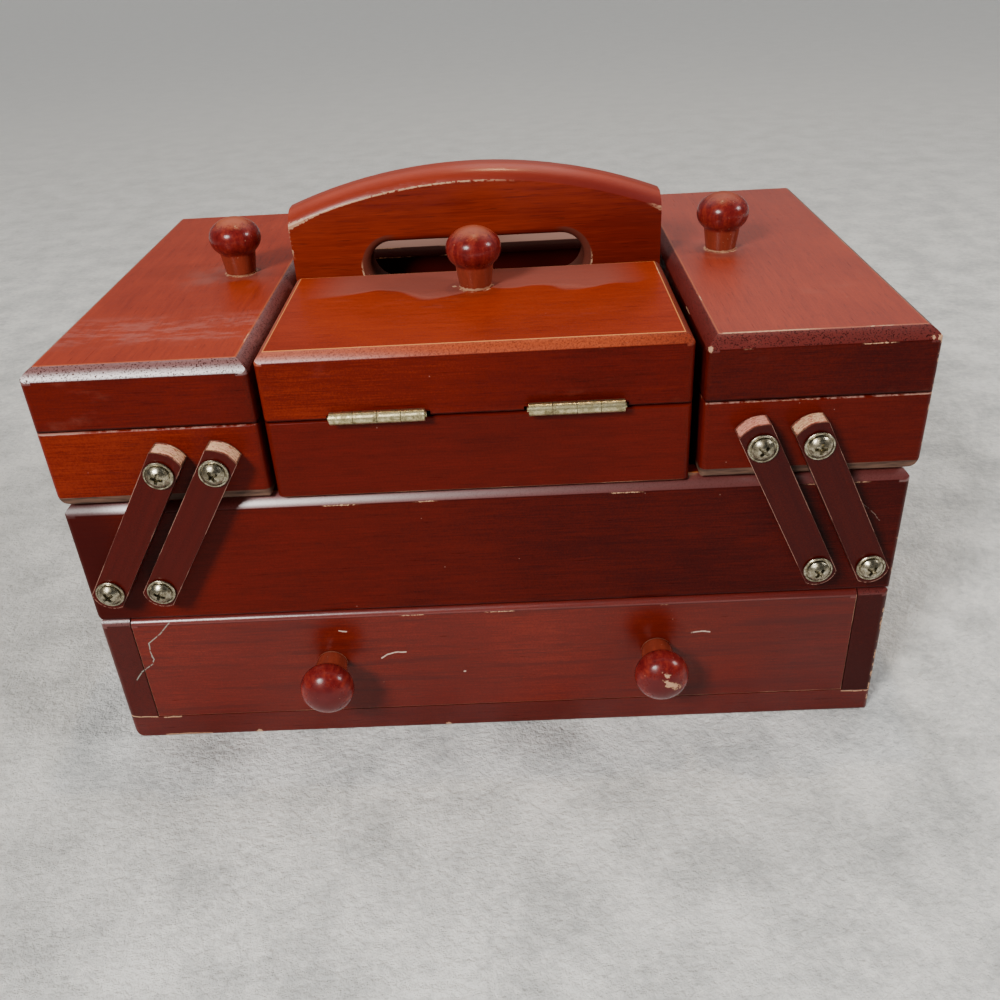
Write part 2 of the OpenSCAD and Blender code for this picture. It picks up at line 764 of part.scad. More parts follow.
base_bottom();
base_left_side();
base_right_side();
base_back();
middle_front();
middle_back();
middle_left_side();
middle_right_side();
middle_floor();
centre_front();
centre_back();
centre_left_side();
centre_right_side();
handle_board();
case_hinge_leaves();
case_hinge_pins();
case_arm_screws();
drawer_front();
drawer_left_side();
drawer_right_side();
drawer_back();
drawer_bottom();
drawer_knobs();
left_tray_front();
left_tray_back();
left_tray_outer_wall();
left_tray_inner_wall();
left_tray_floor();
left_tray_hinge_leaves();
left_tray_hinge_pins();
left_tray_screws();
right_tray_front();
right_tray_back();
right_tray_outer_wall();
right_tray_inner_wall();
right_tray_floor();
right_tray_hinge_leaves();
right_tray_hinge_pins();
right_tray_screws();
left_lid_top();
left_lid_rails();
left_lid_hinge_leaves();
left_lid_knob();
right_lid_top();
right_lid_rails();
right_lid_hinge_leaves();
right_lid_knob();
front_lid_top();
front_lid_rails();
front_lid_hinge_leaves();
front_lid_knob();
rear_lid_top();
rear_lid_rails();
rear_lid_hinge_leaves();
rear_lid_knob();
left_outer_arms();
left_inner_arms();
right_outer_arms();
right_inner_arms();
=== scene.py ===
# %% [markdown]
# # A lacquered sewing carrier
# This lesson dresses a wooden sewing carrier: a drawer base, a middle tier, a centre compartment under
# a carrying handle, and two lidded trays on swinging arms. The boards come in as exact CAD solids that
# already have the right sizes and rounded edges, so most of the work here is the finish: dark red
# stain under gloss lacquer, worn through to bare wood on the edges. The first cell loads the model.
# Its objects all sit at the origin, and one Blender unit is one metre.

# %% Load the frame
import functools
import json
import math
import random
from types import SimpleNamespace

import bmesh
import bpy
from mathutils import Matrix, Vector


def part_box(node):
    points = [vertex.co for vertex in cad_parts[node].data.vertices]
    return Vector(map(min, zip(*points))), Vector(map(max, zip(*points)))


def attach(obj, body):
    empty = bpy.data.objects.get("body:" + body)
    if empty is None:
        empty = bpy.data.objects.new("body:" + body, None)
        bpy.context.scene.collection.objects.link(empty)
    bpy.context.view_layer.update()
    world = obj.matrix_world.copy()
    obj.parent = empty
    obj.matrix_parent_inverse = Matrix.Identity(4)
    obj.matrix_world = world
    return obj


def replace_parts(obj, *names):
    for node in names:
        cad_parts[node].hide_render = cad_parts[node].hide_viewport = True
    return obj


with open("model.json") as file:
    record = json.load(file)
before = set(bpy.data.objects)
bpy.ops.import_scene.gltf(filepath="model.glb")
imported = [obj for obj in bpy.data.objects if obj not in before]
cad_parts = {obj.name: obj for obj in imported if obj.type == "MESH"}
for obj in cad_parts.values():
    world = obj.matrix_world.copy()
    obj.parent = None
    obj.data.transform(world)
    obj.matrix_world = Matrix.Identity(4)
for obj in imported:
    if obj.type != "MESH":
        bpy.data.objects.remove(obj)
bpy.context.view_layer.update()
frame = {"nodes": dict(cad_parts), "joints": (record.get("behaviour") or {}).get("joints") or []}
nodes = frame["nodes"]
MM = 0.001

# %% [markdown]
# ## Light, floor and camera
# The real carrier stands on a pale grey cloth, lit by a lamp at the front left and a weaker one at the
# right, which leave two bright spots on each knob, by a small warm lamp overhead that gilds the handle,
# and by a pale room above and behind. A plain floor, round area lamps and a simple world do the same.
# In front the world is nearly black, so the flat fronts keep their deep red. The camera looks down by
# 31 degrees, and is rolled a little.


# %% Camera
def place_camera(where, aim, roll, lens):
    data = bpy.data.cameras.new("camera")
    data.lens, data.sensor_width = lens, 36.0
    data.clip_start = 0.01
    camera = bpy.data.objects.new("camera", data)
    bpy.context.scene.collection.objects.link(camera)
    level = (aim - where).to_track_quat("-Z", "Y")
    rolled = Matrix.Rotation(math.radians(roll), 4, "Z").to_quaternion()
    camera.location = where
    camera.rotation_mode = "QUATERNION"
    camera.rotation_quaternion = level @ rolled
    bpy.context.scene.camera = camera
    return camera


CAMERA_AT = Vector((13.83, -389.28, 283.72)) * MM
AIMED_AT = Vector((5.922, -95.0, 106.554)) * MM
camera = place_camera(CAMERA_AT, AIMED_AT, -3.345, 35.016)
print("camera at", [round(v, 3) for v in camera.location])

# %% [markdown]
# ## Sums on wires
# A material in Blender is a tree of nodes joined by wires. Clicking together sums such as
# "1 - wear * grain" takes many Math nodes, so one small class wraps an output socket and lets Python's
# own operators add those nodes. Its `node` method adds any other kind of node: the settings are made
# first, because they can change which sockets the node has, and then its inputs are filled.


# %% The wire class
def operator(operation, swapped=False):
    """A method of a wire that adds one Math node. Swapped puts the wire second."""
    def method(wire, other=0.0):
        first, second = (other, wire) if swapped else (wire, other)
        return wire.node("Math", {"operation": operation}, {0: first, 1: second})
    return method


class Wire:
    def __init__(self, tree, socket=None):
        self.tree, self.socket = tree, socket

    def node(self, kind, settings=None, inputs=None, out=0):
        made = self.tree.nodes.new("ShaderNode" + kind)
        for key, value in (settings or {}).items():
            if key == "stops":
                ramp = made.color_ramp.elements
                for i, (place, shade) in enumerate(value):
                    stop = ramp[i] if i < 2 else ramp.new(place)
                    stop.position, stop.color = place, (*shade, 1.0)
            else:
                setattr(made, key, value)
        for key, value in (inputs or {}).items():
            if isinstance(value, Wire):
                self.tree.links.new(value.socket, made.inputs[key])
            else:
                made.inputs[key].default_value = value
        return Wire(self.tree, made.outputs[out] if made.outputs else None)

    __add__, __radd__ = operator("ADD"), operator("ADD", swapped=True)
    __sub__, __rsub__ = operator("SUBTRACT"), operator("SUBTRACT", swapped=True)
    __mul__, __truediv__ = operator("MULTIPLY"), operator("DIVIDE")
    __pow__, __abs__ = operator("POWER"), operator("ABSOLUTE")
    least, most = operator("MINIMUM"), operator("MAXIMUM")

    def between(self, low, high):
        """A smooth step: 0 at low and 1 at high, and the other way round where high is the smaller."""
        return self.node("MapRange", {"interpolation_type": "SMOOTHSTEP"}, {0: self, 1: low, 2: high})

    def vector(self, operation, other):
        return self.node("VectorMath", {"operation": operation}, {0: self, 1: other})

    def split(self):
        made = self.node("SeparateXYZ", None, {0: self})
        return [Wire(self.tree, s) for s in made.socket.node.outputs]

    def away(self, point):
        """The distance to a point."""
        return self.node("VectorMath", {"operation": "DISTANCE"}, {0: self, 1: point}, 1)

    def noise(self, scale, detail=2.0, roughness=0.5):
        sockets = {"Vector": self, "Scale": scale, "Detail": detail, "Roughness": roughness}
        return self.node("TexNoise", None, sockets)

    def over(self, shade, mask):
        """Lays a colour over this one where the mask is 1."""
        return self.node("Mix", {"data_type": "RGBA"}, {"Factor": mask, 6: self, 7: shade}, 2)

    def ramp(self, *stops):
        """A colour for each value, run smoothly through the stops."""
        return self.node("ValToRGB", {"stops": stops}, {0: self})


def rgba(shade):
    return (*shade, 1.0)


# %% [markdown]
# ## Starting and closing a material
# Every finish here starts from the position on the piece in millimetres, because wood fibres, chips
# and scratches have real sizes. It closes with one Principled shader. What varies over the surface
# goes to its colour, roughness and bump; numbers that are the same everywhere are set on the sockets.


# %% Material helpers
def begin(name):
    made = bpy.data.materials.new(name)
    made.use_nodes = True
    made.node_tree.nodes.clear()
    start = Wire(made.node_tree)
    place = start.node("TexCoord", None, None, out=3)
    return made, start, place.vector("MULTIPLY", (1 / MM,) * 3)


def close(made, start, colour, roughness, height=None, depth_mm=0.1, **constants):
    inputs = {"Base Color": colour, "Roughness": roughness}
    if height is not None:
        bump = {"Height": height, "Distance": depth_mm * MM, "Strength": 1.0}
        inputs["Normal"] = start.node("Bump", None, bump)
    inputs.update({key.replace("_", " "): value for key, value in constants.items()})
    shader = start.node("BsdfPrincipled", None, inputs)
    start.node("OutputMaterial", None, {0: shader})
    return made


def paint(obj, material):
    obj.data.materials.clear()
    obj.data.materials.append(material)
    for face in obj.data.polygons:
        face.material_index = 0
    return obj


print("wires and material helpers are ready")


# %% Floor, lamps and world
def floor_plane(half):
    mesh = bpy.data.meshes.new("floor")
    corners = [(-half, -half, 0), (half, -half, 0), (half, half, 0), (-half, half, 0)]
    mesh.from_pydata(corners, [], [(0, 1, 2, 3)])
    floor = bpy.data.objects.new("floor", mesh)
    bpy.context.scene.collection.objects.link(floor)
    made, start, place = begin("pale_cloth")
    x, y, _ = place.split()
    pile = place.noise(0.028, 4.0, 0.65) * 0.65 + place.noise(0.25, 3.0, 0.7) * 0.35
    cloth = pile.ramp((0.38, (0.60, 0.61, 0.60)), (0.60, (1.0, 1.0, 0.97)))
    cloth = cloth.over(rgba((0.97, 0.96, 0.92)), y.between(0.0, 1500.0) * 0.9)
    # Painted shade: the cloth is darker towards the left front, standing in for the dimmer light there.
    cloth = cloth.over(rgba((0.38, 0.36, 0.33)), x.between(-40.0, -400.0) * y.between(500.0, -350.0) * 0.9)
    paint(floor, close(made, start, cloth, 0.95, place.noise(0.35, 4.0, 0.7), 2.5, Specular_IOR_Level=0.2))
    return floor


def lamp(name, where_mm, aim_mm, size_mm, watts, shade):
    data = bpy.data.lights.new(name, "AREA")
    data.shape, data.size = "DISK", size_mm * MM
    data.energy, data.color = watts, shade
    made = bpy.data.objects.new(name, data)
    bpy.context.scene.collection.objects.link(made)
    made.location = Vector(where_mm) * MM
    aim = (Vector(aim_mm) - Vector(where_mm)).to_track_quat("-Z", "Y")
    made.rotation_mode = "QUATERNION"
    made.rotation_quaternion = aim
    return made


def room():
    """The world: pale above and behind, nearly black in front, as in a room with the light at the back."""
    world = bpy.data.worlds.new("room")
    bpy.context.scene.world = world
    world.use_nodes = True
    world.node_tree.nodes.clear()
    start = Wire(world.node_tree)
    _, y, z = start.node("TexCoord", None, None, out=0).split()
    bright = y.between(-0.25, 0.50) * (z.between(0.38, 0.95) * 1.65 + 0.18) + 0.03
    start.node("OutputWorld", None, {0: start.node("Background", None, {"Color": bright, "Strength": 1.0})})


floor_plane(6.0)
lamp("key", (-595, -1007, 919), (0, -20, 110), 330, 20.0, (1.0, 0.98, 0.95))
lamp("fill", (1150, -260, 900), (0, 0, 110), 300, 8.0, (1.0, 0.98, 0.96))
lamp("glow", (70, 150, 1500), (15, 0, 200), 60, 2.6, (1.0, 0.70, 0.35))
room()
print("floor, three lamps and the room are in place")

# %% [markdown]
# ## Where a board wears
# Lacquer wears through where hands and tables touch: on corners, on sharp edges, and on the two lines
# where a rounded edge meets the flat faces. Blender has no wire for that, but a board is a box, so it
# can be worked out. With the distances to the nearest faces across, along and up, the middle one of
# the three is the distance to the nearest edge, and the largest is the distance to the nearest corner.


# %% Edge distances
def edges_of(place, low, high):
    """Distances in mm to the nearest edge and the nearest corner of a box."""
    past_low = place.vector("SUBTRACT", low)
    short_of_high = place.vector("SUBTRACT", high).vector("MULTIPLY", (-1.0,) * 3)
    a, b, c = past_low.vector("MINIMUM", short_of_high).split()
    edge = a.least(b).most(a.most(b).least(c))
    corner = a.most(b).most(c)
    return edge, corner


def form_of(*names):
    """The box in mm that several boards were cut from."""
    lows, highs = zip(*(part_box(n) for n in names))
    low = [min(v[i] for v in lows) / MM for i in range(3)]
    high = [max(v[i] for v in highs) / MM for i in range(3)]
    return low, high


print("left lid form in mm:", form_of("left_lid_top", "left_lid_rails"))

# %% [markdown]
# ## Stained and lacquered wood
# The wood is a fine, even hardwood. Its stain is dark red, with streaks and fine fibres along the grain
# and short dark pores. One way would be a picture of wood, but noise does it without one: the same
# noise squeezed across the grain and stretched along it gives streaks of any length. The stain is thin
# on the edges, where it shows orange, and gone on the corners, where the bare wood is tan. Flat faces
# have a soft shine. The rounded edges are rougher, and a second coat there catches the light over their
# whole width, broken by tiny pits.

# %% Colours of the wood
DARK, RED, ORANGE = (0.038, 0.0018, 0.0012), (0.138, 0.0074, 0.0024), (0.36, 0.036, 0.008)
# The darkest colour here marks pits and dark joints, and is also painted as shade along the bottom edges of
# boards.
BARE, RAW_PINK, PIT_AND_SHADE = (0.64, 0.37, 0.22), (0.42, 0.14, 0.095), (0.02, 0.003, 0.003)
AMBER, PLUM, BLUSH, SPECK = (0.72, 0.26, 0.08), (0.19, 0.026, 0.022), (0.50, 0.085, 0.022), (0.62, 0.42, 0.33)
WOOD = ((0.0, DARK), (0.5, RED), (1.0, ORANGE))
SQUEEZE = {"x": (0.04, 1.0, 1.0), "y": (1.0, 0.04, 1.0), "z": (1.0, 1.0, 0.04)}


def fibres(place, along, seed):
    """Streaks, fine fibres and pores, each from 0 to 1, along one axis or, in a frame of boards, two."""
    shifted = place.vector("ADD", (seed * 37.7, seed * 19.1, seed * 53.3))
    grain = shifted.vector("MULTIPLY", SQUEEZE[along[0]])
    if len(along) == 2:
        normal = place.node("NewGeometry", None, None, out=1).split()
        facing = abs(normal["xy".index(along[0])]).between(0.36, 0.26)
        other = shifted.vector("MULTIPLY", SQUEEZE[along[1]])
        grain = place.node("Mix", {"data_type": "VECTOR"}, {"Factor": facing, 4: other, 5: grain}, 1)
    streak = grain.noise(0.45, 3.0, 0.6)
    fibre = grain.noise(2.3, 1.0, 0.6)
    pore = grain.vector("MULTIPLY", (3.0,) * 3).noise(1.0, 0.0).between(0.70, 0.78)
    return shifted, streak, fibre, pore


print("the stain runs through", len(WOOD), "colours")

# %% [markdown]
# ### The rounding along a top edge
# The finish changes most where a board rounds over. Two distances tell where that is: to the nearest
# edge and to the top. The function lays the rounding over the colour, height and bareness it is given.


# %% Rounded edges
def round_over(w, colour, height, bare, top_z, break_mm, pits=0.0, sheen=1.0, blush=0.0, lines=(0.5, 0.5)):
    """Plum stain, pits, an amber line above and a dark one below, and a coat. Blush makes it more orange."""
    top = w.z * -1.0 + top_z
    near_top = top.between(break_mm + 0.9, break_mm + 0.3)
    at_top = top.between(break_mm * 0.4, break_mm * 0.2)
    on_round = w.edge.between(break_mm - 0.05, break_mm - 0.45) * near_top
    pit = w.shifted.noise(1.7, 2.0, 0.7).between(0.55, 0.62) * on_round * pits
    warm = on_round * w.x.between(95.0, 40.0) * blush * (w.grit * 1.8 - 0.1).least(1.0)
    colour = colour.over(rgba(PLUM), on_round * (0.45 - 0.35 * blush)).over(rgba(BLUSH), warm)
    colour = colour.over(rgba(PIT_AND_SHADE), pit * 0.8)
    line = abs(w.edge - break_mm).between(0.34, 0.08) * near_top
    colour = colour.over(rgba(AMBER), line * at_top * lines[0])
    colour = colour.over(rgba(DARK), line * (1.0 - at_top) * lines[1])
    height = height - pit * 1.5 + w.shifted.noise(0.9, 2.0, 0.7) * on_round * 0.7
    rubbed = (abs(w.edge - break_mm) - (w.ragged - 0.36) * 0.9 * w.gate).between(0.1, -0.1) * near_top
    bare = bare.most(rubbed * w.stretch.between(0.62, 0.66))
    dulled = 1.0 - w.x.between(-62.0, 0.0) * min(blush * 1.2, 0.85)
    coat = on_round * (1.0 - pit) * (w.grit * 0.6 + 0.7).least(1.0) * sheen * dulled
    return colour, height, bare, coat


print("roundings are ready")


# %% The lacquer
def lacquer(name, form, along, seed, tone, wear=0.45, fade=None, top_tone=0.0, haze=0.0, spec=0.09,
            gleam=0.0, gap_shade=0.0, soft=0.42, rim=None, marks=None):
    """A stained, lacquered and worn board. Tone runs from dark (0) to orange-red (1)."""
    made, start, place = begin(name)
    low, high = form
    x, _, z = place.split()
    shifted, streak, fibre, pore = fibres(place, along, seed)
    patch = shifted.noise(0.02, 2.0)
    grit = shifted.noise(1.6, 2.0, 0.7)
    on_top = z.between(high[2] - 0.3, high[2] - 0.1)
    shade = tone + (streak - 0.5) * 0.24 + (fibre - 0.5) * 0.35 + (patch - 0.5) * 0.35 + on_top * top_tone
    shade = shade + (grit - 0.5) * 0.40
    if fade:
        shade = shade + x.between(fade[0], fade[1]) * fade[2] * (1.0 - on_top)
    colour = shade.ramp(*WOOD).over(rgba(DARK), pore * 0.4)
    # Painted shade: a near-black strip along the bottom edge, standing in for the shade in the gap above the
    # part below.
    colour = colour.over(rgba(PIT_AND_SHADE), z.between(low[2] + 1.2, low[2] + 0.5) * gap_shade)
    height = fibre * -0.10 - pore * 0.25 + shifted.noise(0.22, 1.0) * 0.9
    coat = on_top * gleam

    edge, corner = edges_of(place, low, high)
    ragged = shifted.noise(1.1, 2.0, 0.7)
    stretch = shifted.noise(0.035, 1.0)
    gate = stretch.between(0.62 - 0.25 * wear, 0.67 - 0.25 * wear)
    worn = (edge - ragged * (0.55 * wear) * gate).between(0.10, -0.05)
    chipped = (corner - (ragged * 5.0 - 2.4) * wear).between(0.3, -0.1)
    bare = worn.most(chipped)
    if rim:
        w = SimpleNamespace(x=x, z=z, shifted=shifted, edge=edge, grit=grit, ragged=ragged,
                            stretch=stretch, gate=gate)
        colour, height, bare, rim_coat = round_over(w, colour, height, bare, high[2], **rim)
        coat = coat + rim_coat

    roughness = 0.30 + (fibre - 0.5) * 0.10 + bare * 0.4
    if haze:
        rub = shifted.vector("MULTIPLY", (0.5, 1.0, 1.0)).noise(0.045, 4.0, 0.75).between(0.58, 0.74)
        rub = rub * shifted.noise(1.4, 2.0, 0.8)
        colour = colour.over(rgba(RAW_PINK), rub * haze)
        roughness = roughness + rub * haze * 0.4
    cells = shifted.node("TexVoronoi", {"feature": "F1"}, {"Vector": shifted, "Scale": 0.11})
    colour = colour.over(rgba(SPECK), cells.between(0.028, 0.014) * 0.4)
    for mask, mark, strength in (marks(place, shifted) if marks else ()):
        colour = colour.over(rgba(mark), mask * strength)
        roughness = roughness + mask * strength * 0.2
        coat = coat * (1.0 - mask * strength)
    colour = colour.over(rgba(BARE), bare * (0.6 + ragged * 0.6).least(1.0))
    return close(made, start, colour, roughness, height - bare, 0.06, Specular_IOR_Level=spec,
                 Coat_Weight=coat, Coat_Roughness=soft, Coat_IOR=2.3)


print("lacquer is ready")

# %% [markdown]
# ## Marks of use
# A few marks have a place of their own: a pale greenish scribble at the left end of the drawer front,
# white scratches, knocked corners, and the dull haze that fingers left round the knobs of the lids. A
# scratch is a thin line between two points, so its mask comes from the distance to that line. The sum
# behind it is the usual one: slide along the line to the nearest point, and measure from there.


# %% Scratches
def union(masks):
    """The largest of several masks."""
    return functools.reduce(Wire.most, masks)


def stroke(place, start_xz, end_xz, width):
    """A thin scratch on a front face, between two points given as x and z in mm."""
    x, _, z = place.split()
    (ax, az), (bx, bz) = start_xz, end_xz
    dx, dz = bx - ax, bz - az
    share = (((x - ax) * dx + (z - az) * dz) / (dx * dx + dz * dz)).most(0.0).least(1.0)
    off_x, off_z = x - ax - share * dx, z - az - share * dz
    return ((off_x * off_x + off_z * off_z) ** 0.5).between(width, width * 0.4)


def scratches(place, shifted, points, width, breaks=(0.33, 0.45)):
    """A scratch through several points, wavering a little and broken where the wood stayed whole."""
    drift = shifted.noise(0.25, 1.0)
    wavy = place.vector("ADD", place.node("CombineXYZ", None, {0: drift * 1.0 - 0.5, 2: drift * 0.8 - 0.4}))
    mask = union(stroke(wavy, a, b, width) for a, b in zip(points, points[1:]))
    return mask * shifted.noise(0.8, 2.0, 0.8).between(*breaks)


def knocks(place, shifted, spots):
    """Ragged bare chips: each spot is x, y, z and a size in mm."""
    ragged = shifted.noise(0.8, 3.0, 0.75)
    return union((place.away(spot[:3]) - ragged * (2.0 * spot[3])).between(0.15, -0.15) for spot in spots)


def frayed(place, shifted, x_edge, y_edge, depth, reach=(0.46, 0.62)):
    """Chips along an upright edge, up to depth mm wide, with whole stretches between them."""
    x, y, _ = place.split()
    bite = shifted.noise(0.30, 3.0, 0.75).between(*reach) * depth
    return (abs(x - x_edge).most(abs(y - y_edge)) - bite).between(0.12, -0.12)


def ring_round(place, centre, inner, outer):
    """1 within inner mm of an upright axis, fading to 0 at outer mm."""
    x, y, _ = place.split()
    dx, dy = x - centre[0], y - centre[1]
    return ((dx * dx + dy * dy) ** 0.5).between(outer, inner)


print("scratches are ready")

# %% [markdown]
# ## The case and the drawer
# The boards keep their CAD solids, and each gets lacquer fitted to the box that it was cut from. The
# grain of a front or back board runs left to right, and that of a side runs front to back. The base
# and the middle tier are darker and browner than the trays and lids above them, and the right side of
# the case is chipped down to the wood.

# %% Marks on the case
SCRIBBLE = ((-123.3, 58.1), (-127.7, 53.2), (-133.2, 48.8), (-133.6, 44.7), (-132.9, 40.9), (-134.1, 38.4),
            (-139.1, 34.8), (-142.2, 30.7))
PALE, GREEN = (0.78, 0.60, 0.49), (0.44, 0.49, 0.42)
SCRATCHES = (((-43.8, 36.9), (-41.2, 38.7), (-38.4, 39.4), (-34.1, 39.4)), ((-58.8, 51.1), (-56.2, 50.5)),
             ((76.8, 43.2), (80.6, 43.7), (83.7, 43.3)), ((-12.0, 28.5), (-11.6, 28.5)))
SEAM_RUBS = (((-149.6, 11.5), (-138.4, 10.8)), ((-135.7, 10.4), (-129.0, 10.4)),
             ((138.1, 10.1), (150.1, 10.0)), ((-137.0, 0.9), (-118.0, 0.9)))
SEAM_Z, DRAWER_HALF, STREAK = 10.8, 138.0, (0.045, 0.004, 0.004)
case_low, case_high = form_of("base_bottom", "base_left_side", "base_right_side", "base_back")


def scribble(place, shifted):
    return (scratches(place, shifted, SCRIBBLE, 0.30, (0.34, 0.48)), GREEN, 0.6)


def drawer_marks(place, shifted):
    pale = union(scratches(place, shifted, points, 0.40) for points in SCRATCHES)
    band = shifted.vector("MULTIPLY", (0.012, 1.0, 0.25)).noise(1.0, 3.0, 0.65).between(0.50, 0.66)
    return ((band, STREAK, 0.40), scribble(place, shifted), (pale, PALE, 0.9))


def seam_marks(place, shifted):
    """The line where the bottom board meets the sides, dark but for a few rubbed spots."""
    x, _, z = place.split()
    line = abs(z - SEAM_Z).between(0.35, 0.15) * abs(x).between(DRAWER_HALF, DRAWER_HALF + 1.0)
    rubs = union(scratches(place, shifted, points, 0.38) for points in SEAM_RUBS)
    right = frayed(place, shifted, case_high[0], case_low[1], 1.5)
    low_edge = knocks(place, shifted, ((-98.5, case_low[1], 0.6, 1.2), (-20.3, case_low[1], 0.6, 1.1)))
    return ((line, PIT_AND_SHADE, 0.9), scribble(place, shifted), (rubs, BARE, 0.85), (right.most(low_edge), BARE, 0.9))


def middle_marks(place, shifted):
    chips = frayed(place, shifted, case_high[0], case_low[1], 1.0, (0.5, 0.64))
    chips = chips.most(knocks(place, shifted, ((150.2, -95.0, 82.5, 1.2),)))
    pale = scratches(place, shifted, ((133.1, 99.9), (141.4, 91.1)), 0.2, (0.42, 0.52))
    left_end = place.split()[0].between(-118.0, -142.0)
    return ((left_end, DARK, 0.8), (pale, PALE, 0.25), (chips, BARE, 0.9))


# %% Case and drawer finishes
base = (case_low, case_high)
middle = form_of("middle_front", "middle_back", "middle_left_side", "middle_right_side")
front_form, back_form = form_of("centre_front"), form_of("centre_back")
POST_RIM, SIDE_RIM = {"break_mm": 3.0, "pits": 0.7}, {"break_mm": 4.5, "pits": 0.4}
CASE_FINISHES = {
    "base_bottom": lacquer("base_lacquer", base, "x", 3, 0.30, wear=0.4, spec=0.35, marks=seam_marks),
    "base_left_side": lacquer("post_lacquer", base, "y", 5, 0.14, wear=0.35, spec=0.25,
                              rim={"sheen": 0.45, **POST_RIM}, marks=seam_marks),
    "base_right_side": lacquer("right_post_lacquer", base, "y", 7, 0.0, wear=0.6, spec=0.16,
                               rim={"sheen": 0.2, **POST_RIM}, marks=seam_marks),
    "base_back": lacquer("base_back_lacquer", base, "x", 11, 0.30, wear=0.4, spec=0.3, rim=POST_RIM),
    # Painted shade on the middle front: it grows darker towards the right, standing in for shade from the
    # trays and arms, and a dark strip runs along its bottom edge above the base.
    "middle_front": lacquer("middle_lacquer", middle, "x", 13, 0.34, wear=0.3, fade=(-140, 140, -0.26),
                            soft=0.36, gap_shade=0.8, rim={"break_mm": 4.5, "pits": 0.2, "sheen": 0.8},
                            marks=middle_marks),
    "middle_back": lacquer("middle_back_lacquer", middle, "x", 17, 0.30, wear=0.3, rim=SIDE_RIM),
    "middle_left_side": lacquer("middle_side_lacquer", middle, "y", 19, 0.22, wear=0.3, rim=SIDE_RIM,
                                marks=middle_marks),
    "centre_front": lacquer("centre_lacquer", front_form, "x", 23, 0.31, wear=0.2),
    "centre_back": lacquer("centre_back_lacquer", back_form, "x", 29, 0.36, wear=0.2),
    "centre_left_side": lacquer("partition_lacquer", form_of("centre_left_side"), "y", 31, 0.12, wear=0.2),
    "drawer_front": lacquer("drawer_lacquer", form_of("drawer_front"), "x", 37, 0.50, wear=0.3, spec=0.34,
                            fade=(20, 130, -0.16), soft=0.28,
                            rim={"break_mm": 2.5, "pits": 0.2, "sheen": 0.28}, marks=drawer_marks),
}
CASE_FINISHES["middle_right_side"] = CASE_FINISHES["middle_left_side"]
CASE_FINISHES["centre_right_side"] = CASE_FINISHES["centre_left_side"]
for name, material in CASE_FINISHES.items():
    paint(nodes[name], material)
print("lacquered", len(CASE_FINISHES), "boards of the case and drawer")

# %% [markdown]
# ## Plain wood inside
# The drawer box and the floors were never stained. They are a pale softwood with the same fibres, a
# wider streak, and a matt surface. The tray floors are sheets under the walls, so their edges show
# outside, and there the wood has gone dull and brown. The distance to the sheet's own box finds them.


# %% Plain wood
def plain_wood(name, along, seed, form=None):
    made, start, place = begin(name)
    shifted, streak, fibre, pore = fibres(place, along, seed)
    shade = streak * 0.7 + fibre * 0.3
    colour = shade.ramp((0.3, (0.36, 0.21, 0.11)), (0.7, (0.62, 0.42, 0.24)))
    colour = colour.over(rgba((0.22, 0.11, 0.05)), pore * 0.5)
    if form:
        low, high = form
        x, y, z = place.split()
        outside = (x - low[0]).least(x * -1.0 + high[0]).least((y - low[1]).least(y * -1.0 + high[1]))
        ply = shifted.vector("MULTIPLY", (0.1, 0.1, 1.0)).noise(0.8, 2.0, 0.7)
        aged = ply.ramp((0.35, (0.055, 0.025, 0.016)), (0.65, (0.17, 0.085, 0.055)))
        edge_on = outside.between(1.6, 1.2).most(z.between(low[2] + 0.25, low[2] + 0.1))
        colour = colour.over(aged, edge_on)
    roughness, height = 0.62 + (fibre - 0.5) * 0.15, fibre * 0.5 - pore * 0.6
    return close(made, start, colour, roughness, height, 0.06, Specular_IOR_Level=0.3)


lengthwise = plain_wood("plain_wood_across", "x", 41)
crosswise = plain_wood("plain_wood_deep", "y", 43)
for name in ("drawer_back", "drawer_bottom", "middle_floor"):
    paint(nodes[name], lengthwise)
for name in ("drawer_left_side", "drawer_right_side"):
    paint(nodes[name], crosswise)
for i, name in enumerate(("left_tray_floor", "right_tray_floor")):
    paint(nodes[name], plain_wood(name + "_wood", "y", 45 + i, form_of(name)))
print("plain wood on 7 inner boards")

# %% [markdown]
# ## Trays and lids
# These are the parts that catch the eye: redder and more orange than the case, with rounded front
# edges full of small pits, a thin orange line above the rounding and a dark one below it, and tops that
# years of hands have left slightly hazy. The right lid and tray have knocked corners and darker wood.

# %% Marks on the lids
LIDS = ("left", "right", "front", "rear")
KNOB_AT = {lid: [(a + b) / 2 / MM for a, b in zip(*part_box(lid + "_lid_knob"))] for lid in LIDS}
CENTRE_TOP = 165.0
# The third colour here is painted light for the top of the rear lid, seen through the slot.
FINGERED, SCUFF, PAINTED_SLOT_LIGHT = (0.26, 0.10, 0.085), (0.42, 0.17, 0.15), (0.42, 0.26, 0.21)
STAIN, STAIN_EDGE, RIM_PINK = (0.24, 0.085, 0.068), (0.34, 0.14, 0.11), (0.60, 0.34, 0.27)


def worn_foot(place, shifted, lid):
    """Bare wood in a ragged ring round the foot of a knob."""
    return ring_round(place, KNOB_AT[lid], 6.4, 7.0) * shifted.noise(0.5, 2.0, 0.8).between(0.48, 0.56)


def around_knob(lid, shift, reach, low_blot):
    """The dull haze that fingers left round a knob."""
    def marks(place, shifted):
        blot = shifted.noise(0.06, 2.0)
        centre = (KNOB_AT[lid][0] + shift[0], KNOB_AT[lid][1] + shift[1])
        rubbed = ring_round(place, centre, reach * 0.3, reach) * blot.between(low_blot, low_blot + 0.16)
        return [(rubbed, FINGERED, 0.5), (worn_foot(place, shifted, lid), BARE, 0.8)]
    return marks


